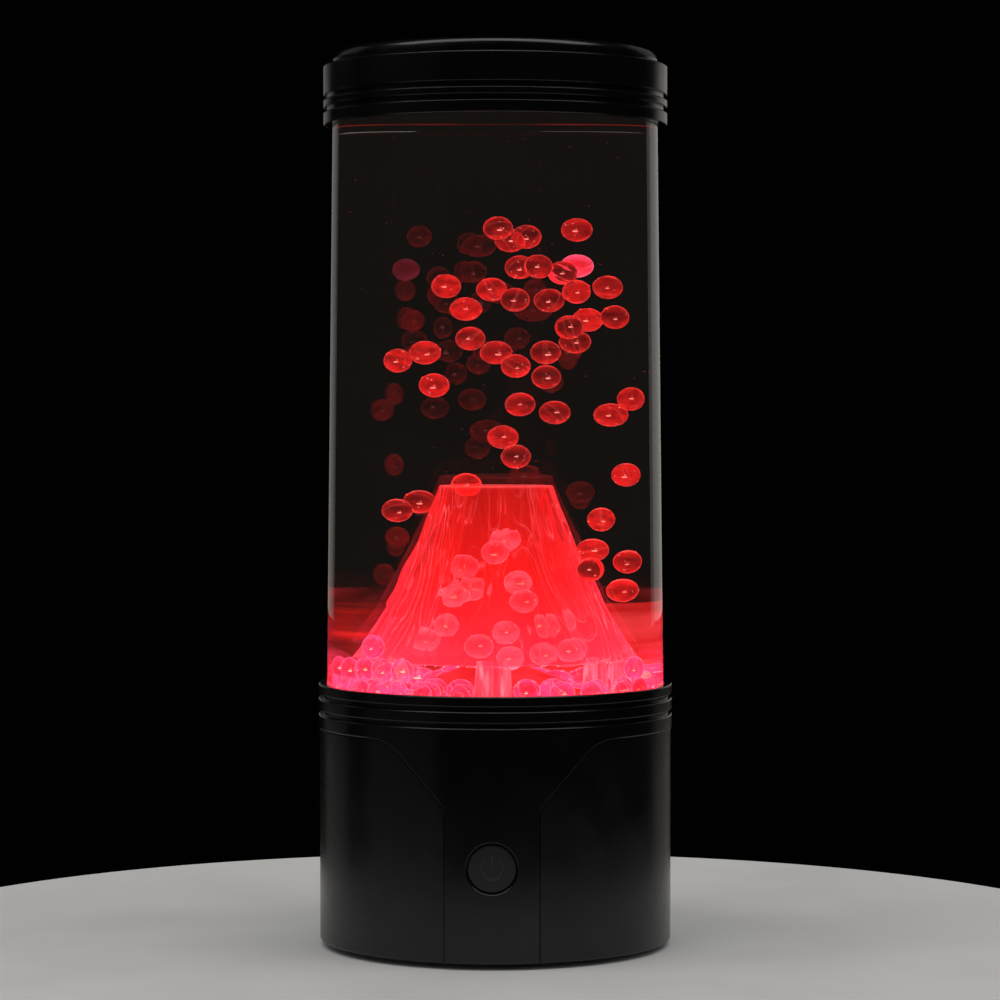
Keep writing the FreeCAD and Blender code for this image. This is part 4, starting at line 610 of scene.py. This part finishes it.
def outer_rows(turns, falls):
    """The cone's outside: folds, runs and lumps, calmer towards the front, and a ragged skirt."""
    mean = cone_mean(falls)
    relief = np.zeros((falls.size, turns.size))
    for run in flow_runs(11):
        relief = np.maximum(relief, run_height(run, turns, falls, mean))
    from_front = np.abs(from_turn(turns, -math.pi / 2))
    relief = relief * np.clip(0.35 + (from_front - 0.2) / 0.8, 0.35, 1)
    for degrees, fall, size in LUMPS:
        aside = from_turn(turns, math.radians(degrees))
        relief = relief + size * np.exp(-(aside / 0.30) ** 2 - ((falls - fall) / 0.0055) ** 2)
    fold_depth = 0.0005 + 0.00075 * falls / falls[-1]
    folds = fold_depth * broad_flow(turns, falls)
    radius = mean + folds + np.minimum(relief, 0.0014) - 0.0003
    height = CRATER_HEIGHT - falls + np.zeros_like(radius)
    height[-1] += 0.0004 * np.sin(9 * turns[0]) + 0.0003 * np.sin(23 * turns[0] + 1)
    return ringed(radius, turns, height)


def inner_rows(turns, falls):
    """The cone's plain inside."""
    radius = cone_mean(falls) - CONE_WALL - 0.0011 * falls / falls[-1]
    height = CRATER_HEIGHT - falls + np.zeros_like(radius * turns)
    return ringed(radius, turns, height)


def lava_cone():
    """The ridged cone, with the values that its material reads: a place on the skin whose scale
    doesn't change with height, and how strong the painted highlight lines are there."""
    turns = np.linspace(0, math.tau, 512, endpoint=False)[None, :]
    falls = np.linspace(0, CONE_DROP, 126)[:, None]
    outer = outer_rows(turns, falls)
    lip = [outer[0] * (share, share, 1) + (0, 0, rise)
           for share, rise in ((0.988, 0.0003), (0.95, 0.0004))]
    inner = inner_rows(turns, falls[::5])
    cone = skin("lava_cone", [*outer[::-1], *lip, *inner], "lava", loop=True)
    places = np.array([vertex.co for vertex in cone.data.vertices])
    around = np.arctan2(places[:, 1], places[:, 0])
    flow = np.stack([0.025 * np.cos(around), 0.025 * np.sin(around), places[:, 2]], axis=1)
    attributes = cone.data.attributes
    attributes.new("flow", "FLOAT_VECTOR", "POINT").data.foreach_set("vector", flow.ravel())
    from_front = np.abs(from_turn(around, -math.pi / 2))
    lively = np.clip((from_front - 0.30) / 0.60, 0.15, 1)
    attributes.new("lively", "FLOAT", "POINT").data.foreach_set("value", lively)
    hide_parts("volcano")
    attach(cone, "lamp")


def lava_leg(number):
    """One fluted leg under the cone's skirt, a little wider at its foot."""
    angle = math.radians(360 / LEG_COUNT * number - 90)
    foot, top = 0.0920, 0.1076
    half_width, half_thickness = 0.0055, 0.00115
    middle = SKIRT_RADIUS - CONE_WALL - half_thickness
    levels, steps = 16, 40
    across = [2 * step / steps - 1 for step in range(steps + 1)]
    rows = []
    for level in range(levels + 1):
        part = level / levels
        reach = half_width * (1.10 - 0.16 * part + 0.05 * math.sin(3 * part + number))
        ring = []
        for place in across:
            flute = 0.0003 * math.cos(9 * place + 0.7 * math.sin(4 * part) + number)
            ripple = 0.00015 * math.cos(23 * place + 1.6 * math.sin(3 * part) + 2 * number)
            ring.append((reach * place, half_thickness + flute + ripple))
        for place in reversed(across):
            ring.append((reach * place, -half_thickness + 0.0002 * math.cos(7 * place)))
        row = []
        for side, out in ring:
            radial = middle + out * (1 - 0.35 * max(0, abs(side) / reach - 0.9) / 0.1)
            row.append((radial * math.cos(angle) - side * math.sin(angle),
                        radial * math.sin(angle) + side * math.cos(angle),
                        foot + (top - foot) * part))
        rows.append(row)
    leg = skin(f"lava_leg_{number + 1}", rows, "leg")
    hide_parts("volcano")
    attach(leg, "lamp")


# The beads

# A bead's skin in degrees: rings by their angle from the gate, and points by their angle from the
# mould line.
GATE_ANGLES = (0, 1.5, 3, 4.5, 6.5, 10, 16, 24, 34, 45, 57, 70, 83,
               97, 110, 123, 136, 148, 160, 171, 180)
HALF_TURN = (0, 2.2, 5, 12, 26, 45, 68, 90, 112, 135, 154, 168, 175, 177.8)
SIDE_ANGLES = HALF_TURN + tuple(180 + angle for angle in HALF_TURN)


def islands(mesh):
    """The separate closed shells of a mesh, as lists of vertex places."""
    parent = list(range(len(mesh.vertices)))

    def root(index):
        while parent[index] != index:
            parent[index] = parent[parent[index]]
            index = parent[index]
        return index

    seen = {}
    for vertex in mesh.vertices:
        key = tuple(round(value, 6) for value in vertex.co)
        first = seen.setdefault(key, vertex.index)
        parent[root(vertex.index)] = root(first)
    for edge in mesh.edges:
        parent[root(edge.vertices[0])] = root(edge.vertices[1])
    groups = {}
    for vertex in mesh.vertices:
        groups.setdefault(root(vertex.index), []).append(vertex.co.copy())
    return list(groups.values())


def box_middle(points):
    """The middle of the box round some points."""
    low = Vector([min(point[axis] for point in points) for axis in range(3)])
    high = Vector([max(point[axis] for point in points) for axis in range(3)])
    return (low + high) / 2


def bead_places(node):
    """The centre and the gate's direction of each bead in a CAD node. Each round finds the gate as
    the point furthest out, and the centre from the points away from the gate."""
    places = []
    for points in islands(nodes[node].data):
        centre = box_middle(points)
        for _ in range(3):
            far = max(points, key=lambda point: (point - centre).length)
            way = (far - centre).normalized()
            centre = box_middle([point for point in points
                                 if (point - centre).normalized().dot(way) < 0.98])
        places.append((centre, way))
    return sorted(places, key=lambda place: tuple(place[0]))


def bead_pattern():
    """One bead about its own centre, its gate along X: points, faces, and how near each point is
    to the mould line."""
    points, seam, rings = [], [], []
    for from_gate in GATE_ANGLES:
        ring = []
        away = math.radians(from_gate)
        for side in SIDE_ANGLES if 0 < from_gate < 180 else (0,):
            turn = math.radians(side)
            off_line = math.degrees(math.asin(abs(math.sin(away) * math.sin(turn))))
            near = math.exp(-(off_line / 2.4) ** 2)
            gate = math.exp(-(from_gate / 4.2) ** 2)
            radius = BEAD_RADIUS + 0.00006 * near + 0.00034 * gate
            ring.append(len(points))
            points.append((radius * math.cos(away), radius * math.sin(away) * math.cos(turn),
                           radius * math.sin(away) * math.sin(turn)))
            seam.append(near)
        rings.append(ring)
    return np.array(points), list(ring_faces(rings)), np.array(seam)


def spark_pattern():
    """A small round glint, one unit in radius: points and faces."""
    form = bmesh.new()
    bmesh.ops.create_icosphere(form, subdivisions=2, radius=1)
    points = np.array([vertex.co for vertex in form.verts])
    faces = [tuple(vertex.index for vertex in face.verts) for face in form.faces]
    form.free()
    return points, faces


def bead_piece(node, material, spark, seed, shades, glints, milky=None):
    """The beads of a CAD node, each with its own share of painted light, a large painted glint in
    its middle and small ones under its skin. The bead at the milky place, if any, is clouded."""
    dice = random.Random(seed)
    pattern, pattern_faces, pattern_seam = bead_pattern()
    ball, ball_faces = spark_pattern()
    points, faces, kinds = [], [], []
    values = {"lift": [], "shade": [], "seam": []}
    body_kind, spark_kind, milky_kind = range(3)

    def put(places, place_faces, kind, lift=0, shade=0, seam=0):
        made = sum(len(group) for group in points)
        points.append(places)
        faces.extend(tuple(made + corner for corner in face) for face in place_faces)
        kinds.extend([kind] * len(place_faces))
        for name, value in (("lift", lift), ("shade", shade), ("seam", seam)):
            values[name].append(np.broadcast_to(value, len(places)))

    for centre, way in bead_places(node):
        spin = Matrix.Rotation(dice.uniform(0, math.tau), 3, way)
        aim = np.array(spin @ way.to_track_quat("X", "Z").to_matrix())
        shade = dice.choice(shades)
        offset = [dice.uniform(-0.0006, 0.0006), dice.uniform(-0.0006, 0.0006),
                  dice.uniform(-0.0009, 0.0001)]
        size = dice.uniform(0.00034, 0.00056)
        body = pattern @ aim.T
        clouded = milky and (centre - Vector(milky)).length < BEAD_RADIUS
        lift = 0.5 + 0.5 * body[:, 2] / BEAD_RADIUS
        put(body + np.array(centre), pattern_faces, milky_kind if clouded else body_kind,
            lift, shade, pattern_seam)
        # Painted glints: a large one near the middle, a small one beside it, and small ones just
        # under the skin.
        middle = np.array(centre) + offset
        put(ball * (1.5 * size, 1.5 * size, 0.55 * size) + middle, ball_faces, spark_kind)
        beside = middle + (0.6 * size, -0.4 * size, 1.4 * size)
        put(ball * (0.35 * size, 0.35 * size, 0.3 * size) + beside, ball_faces, spark_kind)
        for _ in range(glints):
            turn, rise = dice.uniform(0, math.tau), dice.uniform(-1.2, 0.9)
            toward = np.array((math.cos(rise) * math.cos(turn), math.cos(rise) * math.sin(turn),
                               math.sin(rise)))
            under_skin = np.array(centre) + toward * BEAD_RADIUS * dice.uniform(0.86, 0.93)
            put(ball * dice.uniform(0.00007, 0.00016) + under_skin, ball_faces, spark_kind)
    mesh = closed_mesh(f"{node}_lit", np.concatenate(points).tolist(), faces)
    mesh.polygons.foreach_set("material_index", kinds)
    for name, value in values.items():
        data = mesh.attributes.new(name, "FLOAT", "POINT").data
        data.foreach_set("value", np.concatenate(value))
    mesh.materials.append(MATERIALS[material])
    mesh.materials.append(MATERIALS[spark])
    if milky:
        mesh.materials.append(MATERIALS["bead_milky"])
    piece = linked(f"{node}_lit", mesh)
    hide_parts(node)
    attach(piece, "lamp")


def water_specks():
    """Tiny bubbles and dust in the water, with a painted red glow, and painted glints along the
    edge of the cone's skirt."""
    dice = random.Random(5)
    mesh = bpy.data.meshes.new("water_specks")
    form = bmesh.new()

    def ball(turn, reach, height, radius):
        place = Matrix.Translation((reach * math.cos(turn), reach * math.sin(turn), height))
        bmesh.ops.create_icosphere(form, subdivisions=1, radius=radius, matrix=place)

    # Bubbles and dust, with a faint painted red glow.
    for _ in range(130):
        ball(dice.uniform(0, math.tau), 0.054 * math.sqrt(dice.random()),
             dice.uniform(0.175, 0.300), dice.uniform(0.00007, 0.00016))
    dust = len(form.faces)
    # Painted glints along the skirt's edge.
    for _ in range(70):
        ball(dice.uniform(0, math.tau), dice.uniform(0.0383, 0.0391),
             0.1057, dice.uniform(0.00009, 0.00024))
    form.faces.ensure_lookup_table()
    for face in form.faces[dust:]:
        face.material_index = 1
    form.to_mesh(mesh)
    form.free()
    mesh.materials.append(MATERIALS["speck"])
    mesh.materials.append(MATERIALS["bead_spark"])
    piece = linked("water_specks", mesh)
    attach(piece, "lamp")


water_piece()
lava_cone()
for number in range(LEG_COUNT):
    lava_leg(number)
bead_piece("beads_floating", "bead_floating", "bead_spark", 3,
           shades=(0.0, 0.0, 0.1, 0.25, 0.5, 0.8), glints=7, milky=(0.021, 0.014, 0.251))
bead_piece("beads_resting", "bead_resting", "rest_spark", 4,
           shades=(0.0, 0.1, 0.3, 0.8), glints=9)
bead_piece("beads_rising", "bead_rising", "rest_spark", 6,
           shades=(0.0, 0.3, 0.6), glints=5)
water_specks()


# The stage

def pale_floor():
    mesh = bpy.data.meshes.new("floor")
    form = bmesh.new()
    bmesh.ops.create_circle(form, cap_ends=True, segments=128, radius=0.25)
    form.to_mesh(mesh)
    form.free()
    floor = linked("floor", mesh)
    floor.data.materials.append(
        plastic("pale_floor", (0.5, 0.5, 0.49), 0.6, spread=0.02, mottle=8))


def room():
    """A world that gives soft light all round, and is dark where it is seen, mirrored or seen
    through something clear."""
    world = bpy.data.worlds.new("room")
    bpy.context.scene.world = world
    world.use_nodes = True
    tree = world.node_tree
    pale = tree.nodes["Background"]
    set_inputs(pale, Color=(0.95, 0.97, 1.0, 1), Strength=0.55)
    dark = add(tree, "ShaderNodeBackground", in_Color=(*grey(0.0004), 1))
    path = add(tree, "ShaderNodeLightPath")
    seen = calc(tree, "MAXIMUM", path.outputs["Is Camera Ray"], path.outputs["Is Glossy Ray"])
    seen = calc(tree, "MAXIMUM", seen, path.outputs["Is Transmission Ray"])
    either = add(tree, "ShaderNodeMixShader")
    tree.links.new(seen, either.inputs["Fac"])
    tree.links.new(pale.outputs["Background"], either.inputs[1])
    tree.links.new(dark.outputs["Background"], either.inputs[2])
    tree.links.new(either.outputs["Shader"], tree.nodes["World Output"].inputs["Surface"])


def soft_light(name, place, aim, size, power):
    """A soft rectangular light that is seen only in reflections."""
    data = bpy.data.lights.new(name, "AREA")
    data.shape = "RECTANGLE"
    data.size, data.size_y = size
    data.energy = power
    data.color = (1.0, 0.95, 0.90)
    lamp = linked(name, data)
    lamp.location = place
    lamp.visible_camera = False
    lamp.visible_transmission = False
    way = Vector(aim) - Vector(place)
    lamp.rotation_euler = way.to_track_quat("-Z", "Y").to_euler()


# The heights that a panel may stand between: under the lamp, beside it and over it.
UNDER, BESIDE, OVER = (-0.45, -0.03), (0.045, 0.47), (0.50, 1.20)


def panel(name, start, end, heights, brightness):
    """An upright soft panel round the lamp, from one bearing to another in degrees from the front,
    positive to the right, and between two heights."""
    distance = 1.3
    middle = math.radians((start + end) / 2)
    width = 2 * distance * math.tan(math.radians(abs(end - start)) / 2)
    low, high = heights
    height, centre = high - low, (low + high) / 2
    place = (distance * math.sin(middle), -distance * math.cos(middle), centre)
    power = brightness * math.pi * width * height
    soft_light(name, place, (0, 0, centre), (width, height), power)


def camera():
    """The photograph's camera: a little to the right of the front, looking slightly down."""
    data = bpy.data.cameras.new("camera")
    data.sensor_width = 36
    data.lens = 123.66
    data.clip_start = 0.05
    body = linked("camera", data)
    distance, height = 1.272, 0.2016
    bearing, pan, dip = 1.06, 0.0784, 1.677
    around = math.radians(bearing)
    body.location = (distance * math.sin(around), -distance * math.cos(around), height)
    body.rotation_euler = Euler((math.radians(90 - dip), 0, math.radians(bearing - pan)))
    bpy.context.scene.camera = body


pale_floor()
room()
panel("left_front_low", -90, -36, UNDER, 0.08)
panel("left_front_high", -90, -36, OVER, 0.08)
panel("left_back_low", -142, -110, UNDER, 0.12)
panel("left_back_high", -142, -110, OVER, 0.14)
panel("left_strip", -172, -147, BESIDE, 0.22)
panel("left_fade", -147, -142, BESIDE, 0.12)
panel("right_back_low", 125, 160, UNDER, 0.15)
panel("right_back_high", 125, 160, OVER, 0.16)
panel("right_strip", 139, 168, BESIDE, 0.42)
panel("right_fade", 133, 139, BESIDE, 0.20)
soft_light("top_box", (0.0, -0.3, 1.6), (0, 0, 0.2), (3.2, 0.8), 18)
camera()
bpy.context.scene.view_settings.view_transform = "Standard"
